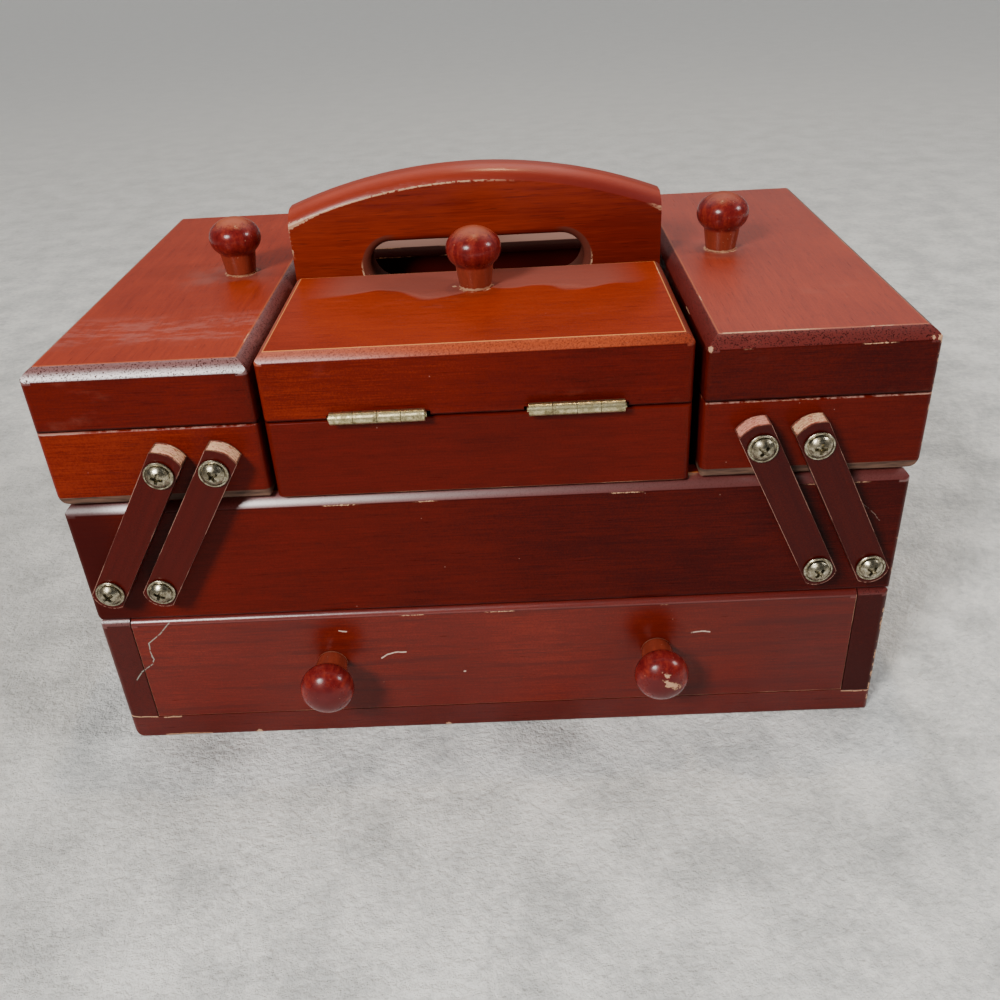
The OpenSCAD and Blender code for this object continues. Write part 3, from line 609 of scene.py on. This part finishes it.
def front_lid_marks(place, shifted):
    """A dull, lobed stain behind the knob, down to a wavy border."""
    x, y, z = place.split()
    knob_x, knob_y, _ = KNOB_AT["front"]
    on_top = z.between(CENTRE_TOP - 1.0, CENTRE_TOP)
    wave = y - knob_y + shifted.noise(0.045, 1.0) * 34.0 - 13.0
    stain = wave.between(-1.5, 2.5) * abs(x).between(68.0, 46.0) * on_top
    border = abs(wave).between(2.2, 0.4) * abs(x).between(60.0, 40.0) * on_top
    chips = knocks(place, shifted, ((knob_x - 8.0, knob_y + 1.0, CENTRE_TOP + 0.2, 0.8),))
    bare = worn_foot(place, shifted, "front").most(chips)
    return [(stain, STAIN, 0.6), (border, STAIN_EDGE, 0.3), (bare, BARE, 0.85)]


def rear_lid_painted_light(place, shifted):
    """Painted light on the top where the slot shows it, and painted shade on the face by the handle."""
    x, y, z = place.split()
    on_top = z.between(CENTRE_TOP - 0.8, CENTRE_TOP - 0.1)
    # A pale patch painted on the top stands in for the light and reflection seen through the slot; the
    # near-black strip on the face stands in for the deep shadow behind the handle.
    slot_light_mask = y.between(60.0, 40.0) * on_top * abs(x).between(66.0, 44.0)
    return [(slot_light_mask, PAINTED_SLOT_LIGHT, 0.8), (y.between(18.4, 17.4), DARK, 0.95)]


def left_lid_marks(place, shifted):
    _, y, _ = place.split()
    scuff = y.between(-80.0, -70.0) * y.between(-44.0, -56.0)
    scuff = scuff * shifted.vector("MULTIPLY", (0.3, 1.0, 1.0)).noise(0.25, 3.0, 0.8).between(0.42, 0.66)
    return around_knob("left", (-5, -4), 24.0, 0.36)(place, shifted) + [(scuff, SCUFF, 0.35)]


def right_lid_marks(place, shifted):
    low, high = form_of("right_lid_top", "right_lid_rails")
    x, y, z = place.split()
    right, front, top = high[0], low[1], high[2]
    spots = ((right - 0.6, front + 0.8, top - 3.6, 1.3), (right, front, top - 9.0, 0.9),
             (right - 3.5, front + 1.0, top - 3.6, 0.8), (low[0] + 1.0, front + 0.4, top - 4.0, 1.0))
    chips = knocks(place, shifted, spots).most(frayed(place, shifted, right, front, 1.0))
    rub = (abs(y - front - 4.3) - shifted.noise(0.9, 2.0, 0.7) * 0.6).between(0.1, -0.1)
    rub = rub * z.between(top - 0.6, top - 0.3) * x.between(low[0] + 40.0, low[0] + 30.0)
    rub = rub * x.between(low[0] + 5.0, low[0] + 6.0)
    return around_knob("right", (0, 0), 18.0, 0.42)(place, shifted) + [(chips.most(rub), BARE, 0.85)]


def tray_marks(low, high, depth):
    def marks(place, shifted):
        x, y, z = place.split()
        hairs = scratches(place, shifted, ((-67.3, 136.1), (-63.5, 133.4), (-61.2, 132.0)), 0.22)
        chips = frayed(place, shifted, high[0], low[1], depth)
        far_left = x.between(-128.0, -140.0)
        from_top = z - high[2] + far_left * 0.5 * shifted.noise(0.5, 2.0)
        rim = (y - low[1]).between(1.0, 0.6) * from_top.between(-0.45, -0.2)
        rim = rim * shifted.noise(0.3, 3.0, 0.8).between(0.42, 0.60).most(far_left)
        return [(hairs, PALE, 0.6), (rim, RIM_PINK, 0.55), (chips, BARE, 0.85)]
    return marks


# %% Tray and lid finishes
TRAY_BOARDS = ("front", "back", "outer_wall", "inner_wall", "floor")


def paint_parts(stem, parts, material):
    for part in parts:
        paint(nodes[f"{stem}_{part}"], material)


def dress_side(side, seed, tone, wear, fade, gleam, sheen, lid_marks):
    tray = form_of(*(f"{side}_tray_{part}" for part in TRAY_BOARDS))
    chips = tray_marks(*tray, 1.0 if side == "right" else 0.4)
    ends = lacquer(f"{side}_tray_lacquer", tray, "x", seed, tone + 0.04, wear=wear, fade=fade, marks=chips)
    walls = lacquer(f"{side}_tray_wall_lacquer", tray, "y", seed + 2, tone - 0.15, wear=wear, marks=chips)
    paint_parts(f"{side}_tray", ("front", "back"), ends)
    paint_parts(f"{side}_tray", ("outer_wall", "inner_wall"), walls)
    lid = form_of(f"{side}_lid_top", f"{side}_lid_rails")
    rim = {"break_mm": 4.3, "pits": 1.0, "sheen": sheen, "lines": (0.25, 0.5)}
    # Each side lid is painted darker along its bottom edge, as shade in the gap above its tray.
    boards = lacquer(f"{side}_lid_lacquer", lid, "yx", seed + 4, tone - 0.18, wear=wear, fade=fade, haze=0.25,
                     gleam=gleam, top_tone=1.03 - tone, gap_shade=0.8, rim=rim, marks=lid_marks)
    paint_parts(f"{side}_lid", ("top", "rails"), boards)


def dress_centre(name, seed, blush, marks):
    lid = form_of(f"{name}_lid_top", f"{name}_lid_rails")
    rim = {"break_mm": 3.2, "pits": 0.5, "sheen": 0.6, "blush": blush, "lines": (0.9 if blush else 0.2, 0.3)}
    # Each centre lid is painted darker along its bottom edge, as shade in the gap below it.
    boards = lacquer(f"{name}_lid_lacquer", lid, "xy", seed, 0.56, wear=0.3, fade=(-60, 70, -0.30), haze=0.15,
                     spec=0.07, top_tone=0.22, gap_shade=0.8, rim=rim, marks=marks)
    paint_parts(f"{name}_lid", ("top", "rails"), boards)


dress_side("left", 51, 0.52, 0.40, (-90, -75, -0.10), 0.10, 1.0, left_lid_marks)
dress_side("right", 61, 0.34, 0.60, (80, 150, -0.07), 0.45, 0.16, right_lid_marks)
dress_centre("front", 71, 0.75, front_lid_marks)
dress_centre("rear", 81, 0.0, rear_lid_painted_light)
print("lacquered the trays and the lids")

# %% [markdown]
# ## The handle
# The handle board is one plank with an arched top, orange along the crest and dark purple where it
# rounds over to the front. Its worn line follows the arch, so the distance to measure is the one from
# the arch's centre. The rim of the hand slot is painted darker and greyer, as the light and shade of a
# rounded-over edge that the solid lacks, and the lower half of its inside is painted in shadow.

# %% Handle finish
ARCH_RISE, ARCH_W, ROUND, SLOT_Z, SLOT_RUN, SLOT_R = 13.6, 145.0, 5.0, 166.0, 33.2, 9.4
handle_low, handle_high = form_of("handle_board")
arch_radius = ((ARCH_W / 2) ** 2 + ARCH_RISE**2) / (2 * ARCH_RISE)
CREST_DARK, SLOT_SHADE, SLOT_RIM_SHADING = (0.13, 0.012, 0.012), (0.012, 0.004, 0.004), (0.11, 0.035, 0.024)


def handle_finish():
    made, start, place = begin("handle_lacquer")
    x, y, z = place.split()
    up = z - (handle_high[2] - arch_radius)
    below_arch = arch_radius - (x * x + up * up) ** 0.5
    side = abs(y)
    shifted, streak, fibre, pore = fibres(place, "x", 91)
    patch = shifted.noise(0.02, 2.0)
    shade = (streak - 0.5) * 0.40 + (fibre - 0.5) * 0.30 + (patch - 0.5) * 0.35 - x.between(5.0, 75.0) * 0.26
    colour = (shade + 0.68).ramp(*WOOD).over(rgba(DARK), pore * 0.4)
    on_crown = below_arch.between(ROUND + 0.1, ROUND - 0.4)
    crest = (shade * 0.6 + 0.93).ramp(*WOOD)
    crest = crest.over(rgba(CREST_DARK), side.between(5.0, 9.5) * (0.35 + x.between(-30.0, 60.0) * 0.5))
    colour = colour.over(crest, on_crown)
    face = side.between(handle_high[1] - 0.7, handle_high[1] - 0.3)
    ragged = shifted.noise(0.9, 2.0, 0.7)
    corners = x.between(-58.0, -73.0).most(x.between(66.0, 73.0) * 0.6)
    line = (abs(below_arch - ROUND) - ragged * (0.50 + corners * 1.6)).between(0.12, 0.0) * face
    unbroken = shifted.noise(0.35, 2.0, 0.7).between(0.36, 0.46).most(corners)
    line = line * x.between(22.0, -6.0).most(corners) * unbroken
    left = (x - handle_low[0]).most(abs(side - handle_high[1]))
    left = (left - shifted.noise(0.35, 3.0, 0.75).between(0.42, 0.60) * 1.0).between(0.1, -0.1)
    left = left * z.between(170.0, 176.0)
    over_run = (abs(x) - SLOT_RUN).most(0.0)
    from_slot = (over_run * over_run + (z - SLOT_Z) * (z - SLOT_Z)) ** 0.5 - SLOT_R
    # Painted light and shade: a greyish band round the ends of the slot stands in for a rounded-over edge
    # that the solid lacks.
    rim = from_slot.between(3.4, 2.6) * abs(x).between(SLOT_RUN - 4.0, SLOT_RUN + 3.0)
    rub = abs(from_slot - 3.0).between(0.5, 0.1) * over_run.between(3.0, 8.0)
    rub = rub * z.between(SLOT_Z + 4.0, SLOT_Z - 3.0)
    bare = line.most(left).most(rub * ragged.between(0.40, 0.52))
    # Painted shadow on the lower half of the slot's inside.
    inside = from_slot.between(0.4, 0.1) * z.between(SLOT_Z - 2.0, SLOT_Z - 6.0)
    colour = colour.over(rgba(SLOT_SHADE), inside)
    colour = colour.over(rgba(SLOT_RIM_SHADING), rim * 0.75).over(rgba(BARE), bare * 0.9)
    polished = x.between(-15.0, 5.0) * x.between(50.0, 30.0)
    coat = on_crown * (side.between(6.5, 9.2) * 0.45 + 0.10 + polished * 0.4)
    height = fibre * -0.10 - pore * 0.25 + shifted.noise(0.22, 1.0) * 0.9 - bare
    return close(made, start, colour, 0.34 + bare * 0.4 + (fibre - 0.5) * 0.1, height, 0.06,
                 Specular_IOR_Level=0.2, Coat_Weight=coat, Coat_Roughness=0.22)


paint(nodes["handle_board"], handle_finish())
print("handle: the arch has a radius of", round(arch_radius, 1), "mm")

# %% [markdown]
# ## The arms
# Each arm is a flat stick of nearly black lacquered wood. Its rounded top end was sawn through the glued
# sheet after painting and shows bare end grain, pink and tan, and its long edges have a thin worn line.
# The finish works in the arm's own directions: the position is moved to the lower pivot and turned back
# upright, so the same sums fit an arm that leans either way.

# %% Arm finish
ARM_W, ARM_TOP_BOW, ARM_FOOT_R, BOW_AT = 11.5, 10.5, 7.0, 53.8
END_DARK, END_RED = (0.28, 0.08, 0.05), (0.46, 0.15, 0.09)
END_BORDER, WORN_LINE = (0.06, 0.012, 0.010), (0.60, 0.33, 0.25)


def arm_finish(node_name, seed, tones):
    _, high = form_of(node_name)
    side = -1 if high[0] < 0 else 1
    px, pz = pivots(ARM_BODIES[node_name])
    lean = math.acos((high[2] - ARM_TOP_BOW - pz) / BOW_AT)
    made, start, place = begin(node_name + "_finish")
    moved = place.vector("SUBTRACT", (px, 0.0, pz))
    upright = moved.node("VectorRotate", {"rotation_type": "Y_AXIS"}, {"Vector": moved, "Angle": lean * side})
    u, y, w = upright.split()
    shifted, streak, _, pore = fibres(upright, "z", seed)
    grit = shifted.noise(1.6, 2.0, 0.7)
    base_tone = 0.14 if side < 0 else 0.06
    colour = (base_tone + (streak - 0.5) * 0.22 + (grit - 0.5) * 0.35).ramp(*WOOD)
    ragged = shifted.noise(1.2, 2.0, 0.7)
    near_face = abs(abs(y) - high[1])
    inset = (abs(u) * -1.0 + ARM_W / 2).most(0.0)
    patchy = shifted.noise(0.06, 1.0).between(0.42, 0.52)
    worn = (inset.most(near_face) - ragged * 0.24 * patchy).between(0.10, -0.05)
    past = w - BOW_AT
    from_top = (u * u + past * past) ** 0.5
    on_end = from_top.between(ARM_TOP_BOW - 0.25, ARM_TOP_BOW - 0.12) * past.between(0.0, 2.0)
    layers = upright.vector("MULTIPLY", (0.22, 1.0, 0.22)).noise(0.75, 3.0, 0.7)
    grain = layers * 0.75 + upright.noise(1.6, 2.0, 0.7) * 0.25
    raw = grain.ramp((0.42, END_DARK), (0.47, tones[0]), (0.54, tones[1]), (0.61, END_RED))
    border = inset.least(near_face).least(abs(near_face - 7.5)) - ragged * 1.1
    raw = raw.over(rgba(END_BORDER), border.between(0.1, -0.15) * 0.85)
    foot_edge = ((u * u + w * w) ** 0.5 - ARM_FOOT_R + 0.35).between(0.0, 0.25) * w.between(0.0, -1.0)
    foot_edge = foot_edge * near_face.between(0.3, 0.0) * ragged.between(0.42, 0.55)
    colour = colour.over(rgba(WORN_LINE), worn.most(foot_edge) * 0.6).over(raw, on_end)
    roughness = 0.30 + worn * 0.4 + on_end * 0.4
    height = grain * on_end * 2.0 - worn - pore * 0.3 + shifted.noise(0.3, 1.0) * 0.8
    return close(made, start, colour, roughness, height, 0.08, Specular_IOR_Level=0.15)


def pivots(child):
    """x and z in mm of the pivot of the joint whose child is this body."""
    return [(j["pos_m"][0] / MM, j["pos_m"][2] / MM) for j in frame["joints"] if j["child"] == child][0]


ARM_BODIES = {f"{s}_{p}_arms": f"{s}_{p}_arm_pair" for s in ("left", "right") for p in ("outer", "inner")}
PINK, TAN, DULL = (0.92, 0.42, 0.30), (0.98, 0.66, 0.36), (0.60, 0.20, 0.15)
END_TONES = {"left_outer_arms": (PINK, TAN), "left_inner_arms": (PINK, TAN),
             "right_outer_arms": (DULL, TAN), "right_inner_arms": (DULL, PINK)}
for i, (name, tones) in enumerate(END_TONES.items()):
    paint(nodes[name], arm_finish(name, 101 + 7 * i, tones))
print("finished", len(ARM_BODIES), "pairs of arms")

# %% [markdown]
# ## Turned knobs
# A knob is a lathe job: draw half of its outline and spin it. The CAD knob has a crisp line where the
# head meets the neck, and the real one has a soft hollow there, so each knob is turned again from the
# same sizes with that hollow. Its lacquer is deep cherry, and mottled orange where the top is worn.

# %% Knob outline
KNOB_D, HEAD_H, EDGE_R, KNOB_H, NECK_LOW, NECK_TOP = 20.4, 16.0, 6.5, 22.5, 11.8, 14.0


def knob_outline():
    """Radius and height in mm, from the foot of the neck to the top of the head."""
    a, b = KNOB_D / 2, HEAD_H / 2
    mid = KNOB_H - b
    flat = ((a - EDGE_R) ** 2 + b * b - EDGE_R**2) / (2 * (b - EDGE_R))
    limit = math.asin((a - EDGE_R) / (flat - EDGE_R))
    points = [(0.01, 0.0), (NECK_LOW / 2 - 0.15, 0.0), (NECK_LOW / 2, 0.15)]
    neck_end = mid - b * 0.80
    for i in range(1, 7):
        t = i / 7
        points.append((NECK_LOW / 2 + (NECK_TOP - NECK_LOW) / 2 * t, neck_end * t))
    head = []
    for i in range(37):
        angle = -math.pi / 2 + limit + (math.pi - 2 * limit) * i / 36
        head.append((a - EDGE_R + EDGE_R * math.cos(angle), mid + EDGE_R * math.sin(angle)))
    start = next(i for i, (r, _) in enumerate(head) if r > NECK_TOP / 2 + 0.45)
    points += [(NECK_TOP / 2 - 0.02, neck_end + 0.15), (NECK_TOP / 2 + 0.05, neck_end + 0.5)]
    points += head[start:]
    for i in range(1, 9):
        angle = limit * (1 - i / 8)
        points.append((max(flat * math.sin(angle), 0.01), KNOB_H - flat + flat * math.cos(angle)))
    return points


def lathe(mesh_name, outline, turns=72):
    bm = bmesh.new()
    angles = [2 * math.pi * k / turns for k in range(turns)]
    rings = []
    for r, z in outline:
        rings.append([bm.verts.new((r * MM * math.cos(a), r * MM * math.sin(a), z * MM)) for a in angles])
    for low_ring, high_ring in zip(rings, rings[1:]):
        for k in range(turns):
            bm.faces.new((low_ring[k], low_ring[(k + 1) % turns], high_ring[(k + 1) % turns], high_ring[k]))
    bm.faces.new(list(reversed(rings[0])))
    bm.faces.new(rings[-1])
    mesh = bpy.data.meshes.new(mesh_name)
    bm.normal_update()
    bm.to_mesh(mesh)
    bm.free()
    for face in mesh.polygons:
        face.use_smooth = True
    return mesh


print("the knob outline has", len(knob_outline()), "points")


# %% Cherry finish
CHERRY = ((0.30, (0.085, 0.005, 0.006)), (0.50, (0.17, 0.012, 0.011)), (0.72, (0.30, 0.035, 0.018)))
ORANGE_TOP, DARK_TOP, NECK = (0.42, 0.09, 0.025), (0.10, 0.008, 0.009), (0.27, 0.055, 0.022)


def cherry(name, seed, worn_top=0.5, foot_ring=0.2, face=ORANGE_TOP, chips=()):
    made, start, place = begin(name)
    shifted = place.vector("ADD", (seed * 31.0, seed * 17.0, seed * 7.0))
    x, y, z = place.split()
    streak = shifted.vector("MULTIPLY", (1.0, 1.0, 0.12)).noise(0.45, 3.0, 0.6)
    fibre = shifted.noise(1.2, 2.0, 0.6)
    shade = streak * 0.65 + fibre * 0.35
    colour = shade.ramp(*CHERRY)
    ragged = shifted.noise(0.55, 3.0, 0.75)
    crown = (z + ragged * 5.0).between(KNOB_H - 1.2, KNOB_H + 2.0)
    colour = colour.over(rgba(face), crown * worn_top)
    colour = colour.over(rgba(NECK), z.between(9.5, 7.5) * 0.5)
    foot = (z - ragged * 3.2 * foot_ring).between(0.45, 0.0)
    nick = shifted.noise(1.3, 1.0, 0.6).between(0.77, 0.80)
    bare = foot.most(nick * 0.8)
    for cx, cy, cz, size in chips:
        dx, dy, dz = x - cx, y - cy, z - cz
        run, across = dx * 0.87 - dy * 0.5, dx * 0.5 + dy * 0.87
        far = (run * run * 0.35 + across * across * 1.5 + dz * dz) ** 0.5
        bare = bare.most((far - ragged * size).between(0.2, -0.2))
    colour = colour.over(rgba(BARE), bare * 0.9)
    roughness = 0.20 + crown * 0.10 + bare * 0.4 + ragged * 0.06
    height = ragged * 0.3 - bare - crown * ragged * 0.4
    return close(made, start, colour, roughness, height, 0.08, Specular_IOR_Level=0.3)


# %% Place the knobs
knob_mesh = lathe("turned_knob", knob_outline())


def knob(name, foot_mm, direction, turn, material):
    made = bpy.data.objects.new(name, knob_mesh.copy())
    bpy.context.scene.collection.objects.link(made)
    made.location = Vector(foot_mm) * MM
    made.rotation_mode = "QUATERNION"
    level = Vector(direction).to_track_quat("Z", "Y")
    made.rotation_quaternion = level @ Matrix.Rotation(turn, 4, "Z").to_quaternion()
    paint(made, material)
    return made


LID_KNOBS = {"left": (0.75, 0.2), "right": (0.45, 0.35), "front": (0.55, 0.5), "rear": (0.45, 0.2)}
for i, (lid, (crown, ring)) in enumerate(LID_KNOBS.items()):
    low, high = form_of(f"{lid}_lid_knob")
    foot = ((low[0] + high[0]) / 2, (low[1] + high[1]) / 2, low[2])
    finish = cherry(f"{lid}_knob_cherry", i + 1, crown, ring)
    made = knob(f"{lid}_knob_turned", foot, (0, 0, 1), 0.7 * i, finish)
    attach(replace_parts(made, f"{lid}_lid_knob"), f"{lid}_lid")
low, high = form_of("drawer_knobs")
KNOB_CHIPS = ((2.3, 1.2, 20.5, 4.4), (1.0, 4.8, 20.3, 2.6))
for i, (side, x) in enumerate((("left", low[0] + KNOB_D / 2), ("right", high[0] - KNOB_D / 2))):
    chips = KNOB_CHIPS if side == "right" else ()
    finish = cherry(f"drawer_{side}_knob_cherry", 11 + i, 0.85, 0.1, DARK_TOP, chips)
    foot = (x, high[1], (low[2] + high[2]) / 2)
    made = knob(f"drawer_{side}_knob_turned", foot, (0, -1, 0), 0.0, finish)
    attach(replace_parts(made, "drawer_knobs"), "drawer")
print("turned", len(LID_KNOBS) + 2, "knobs")

# %% [markdown]
# ## Washer-head screws
# The arms hang on pan-head screws with a broad washer, a dark groove round the head and a cross recess.
# The head is turned from an outline like the knob, and the cross is cut with a boolean: four tapered
# blades that meet in the middle, wide at the top and narrow at the bottom, as the driver's tip is.

# %% Build one screw head
WASHER_R, WASHER_T, DOME_R, DOME_H, SHANK_R, CAP_H = 5.15, 0.8, 3.95, 2.4, 2.0, 1.9


def screw_outline(shank):
    """The washer, a groove round the foot of the dome, a short upright wall and a shallow cap."""
    points = [(0.01, -shank), (SHANK_R, -shank), (SHANK_R, 0.0), (WASHER_R - 0.15, 0.0), (WASHER_R, 0.15)]
    points += [(WASHER_R, WASHER_T - 0.2), (WASHER_R - 0.2, WASHER_T), (DOME_R + 0.55, WASHER_T)]
    points += [(DOME_R + 0.35, WASHER_T - 0.5), (DOME_R, WASHER_T - 0.5)]
    foot = WASHER_T + DOME_H - CAP_H
    sphere = (DOME_R**2 + CAP_H**2) / (2 * CAP_H)
    start = math.asin(DOME_R / sphere)
    for i in range(11):
        angle = start * (1 - i / 10)
        points.append((max(sphere * math.sin(angle), 0.01), foot + CAP_H - sphere + sphere * math.cos(angle)))
    return points


def cross_cutter():
    """Two crossed blades that taper downward, as one mesh object."""
    bm = bmesh.new()
    top, deep, reach, narrow, half, thin = WASHER_T + DOME_H + 0.5, WASHER_T + 0.3, 2.9, 1.0, 0.66, 0.42
    for turn in (0.0, math.pi / 2):
        spin = Matrix.Rotation(turn, 4, "Z")
        shape = [(reach, half, top), (-reach, half, top), (-reach, -half, top), (reach, -half, top)]
        shape += [(narrow, thin, deep), (-narrow, thin, deep), (-narrow, -thin, deep), (narrow, -thin, deep)]
        v = [bm.verts.new(spin @ (Vector(p) * MM)) for p in shape]
        for f in ((0, 1, 2, 3), (7, 6, 5, 4), (0, 4, 5, 1), (1, 5, 6, 2), (2, 6, 7, 3), (3, 7, 4, 0)):
            bm.faces.new([v[i] for i in f])
    bmesh.ops.recalc_face_normals(bm, faces=bm.faces)
    mesh = bpy.data.meshes.new("cross_cutter")
    bm.to_mesh(mesh)
    bm.free()
    return bpy.data.objects.new("cross_cutter", mesh)


def screw_mesh(shank):
    head = bpy.data.objects.new("screw_blank", lathe("screw_blank", screw_outline(shank), 40))
    cutter = cross_cutter()
    for made in (head, cutter):
        bpy.context.scene.collection.objects.link(made)
    cut = head.modifiers.new("cross", "BOOLEAN")
    cut.object, cut.operation, cut.solver, cut.use_self = cutter, "DIFFERENCE", "EXACT", True
    bpy.context.view_layer.update()
    mesh = bpy.data.meshes.new_from_object(head.evaluated_get(bpy.context.evaluated_depsgraph_get()))
    for made in (head, cutter):
        bpy.data.objects.remove(made)
    return mesh


one_screw = screw_mesh(15.0)
print("a screw has", len(one_screw.polygons), "faces")


# %% Old nickel
def old_metal(name, light, dull, deep, seed, roughness):
    """Plated metal that has yellowed, with darker stains and fine scratches."""
    made, start, place = begin(name)
    shifted = place.vector("ADD", (seed * 11.0, seed * 5.0, seed * 3.0))
    stain = shifted.noise(0.55, 3.0, 0.7)
    fine = shifted.noise(3.5, 2.0, 0.7)
    colour = (stain * 0.75 + fine * 0.25).ramp((0.34, deep), (0.5, dull), (0.66, light))
    rough = roughness + (fine - 0.5) * 0.25 + stain.between(0.55, 0.35) * 0.2
    return close(made, start, colour, rough, fine + stain * 0.6, 0.03, Metallic=1.0)


def screws(name, node_name, body, heads, material):
    """One object with a screw at each place: x, y, z of the seat in mm, and the way that it faces."""
    turns = random.Random(name)
    bm = bmesh.new()
    for x, y, z, facing in heads:
        spin = Matrix.Rotation(turns.uniform(0, math.pi / 2), 4, "Z")
        outward = Matrix.Rotation(-facing * math.pi / 2, 4, "X")
        part = one_screw.copy()
        part.transform(Matrix.Translation(Vector((x, y, z)) * MM) @ outward @ spin)
        bm.from_mesh(part)
        bpy.data.meshes.remove(part)
    mesh = bpy.data.meshes.new(name)
    bm.to_mesh(mesh)
    bm.free()
    made = bpy.data.objects.new(name, mesh)
    bpy.context.scene.collection.objects.link(made)
    paint(made, material)
    shade_by_angle(mesh, 35)
    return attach(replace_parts(made, node_name), body)


def shade_by_angle(mesh, degrees):
    """Smooth shading, with a crisp edge wherever two faces meet at more than this angle."""
    bm = bmesh.new()
    bm.from_mesh(mesh)
    for face in bm.faces:
        face.smooth = True
    for edge in bm.edges:
        edge.smooth = len(edge.link_faces) == 2 and edge.calc_face_angle(0.0) < math.radians(degrees)
    bm.to_mesh(mesh)
    bm.free()


nickel = old_metal("old_nickel", (0.66, 0.61, 0.47), (0.34, 0.30, 0.21), (0.10, 0.08, 0.05), 3, 0.26)
SEAT_Y = form_of("case_arm_screws")[1][1] - WASHER_T - DOME_H
lower = [pivots(f"{s}_{p}_arm_pair") for s in ("left", "right") for p in ("outer", "inner")]
heads = [(x, f * SEAT_Y, z, f) for x, z in lower for f in (-1, 1)]
screws("case_screws_cut", "case_arm_screws", "case", heads, nickel)
for side in ("left", "right"):
    low, high = form_of(f"{side}_tray_screws")
    z = (low[2] + high[2]) / 2
    heads = [(x, f * SEAT_Y, z, f) for x in (low[0] + WASHER_R, high[0] - WASHER_R) for f in (-1, 1)]
    screws(f"{side}_tray_screws_cut", f"{side}_tray_screws", f"{side}_tray", heads, nickel)
print("cut 16 screws, seated", round(SEAT_Y, 2), "mm from the middle")

# %% [markdown]
# ## Hinges
# The hinges are small pressed butts in antique brass, dull and greenish, with brighter metal along the
# top of the barrel where fingers touch. Their CAD solids have every knuckle and the pin, so only the
# finish is needed.

# %% Hinge finish
brass = old_metal("antique_brass", (0.86, 0.78, 0.50), (0.54, 0.47, 0.27), (0.15, 0.12, 0.06), 7, 0.34)
hinge_parts = [n for n in nodes if "hinge" in n]
for name in hinge_parts:
    paint(nodes[name], brass)
print("brass on", len(hinge_parts), "hinge parts")
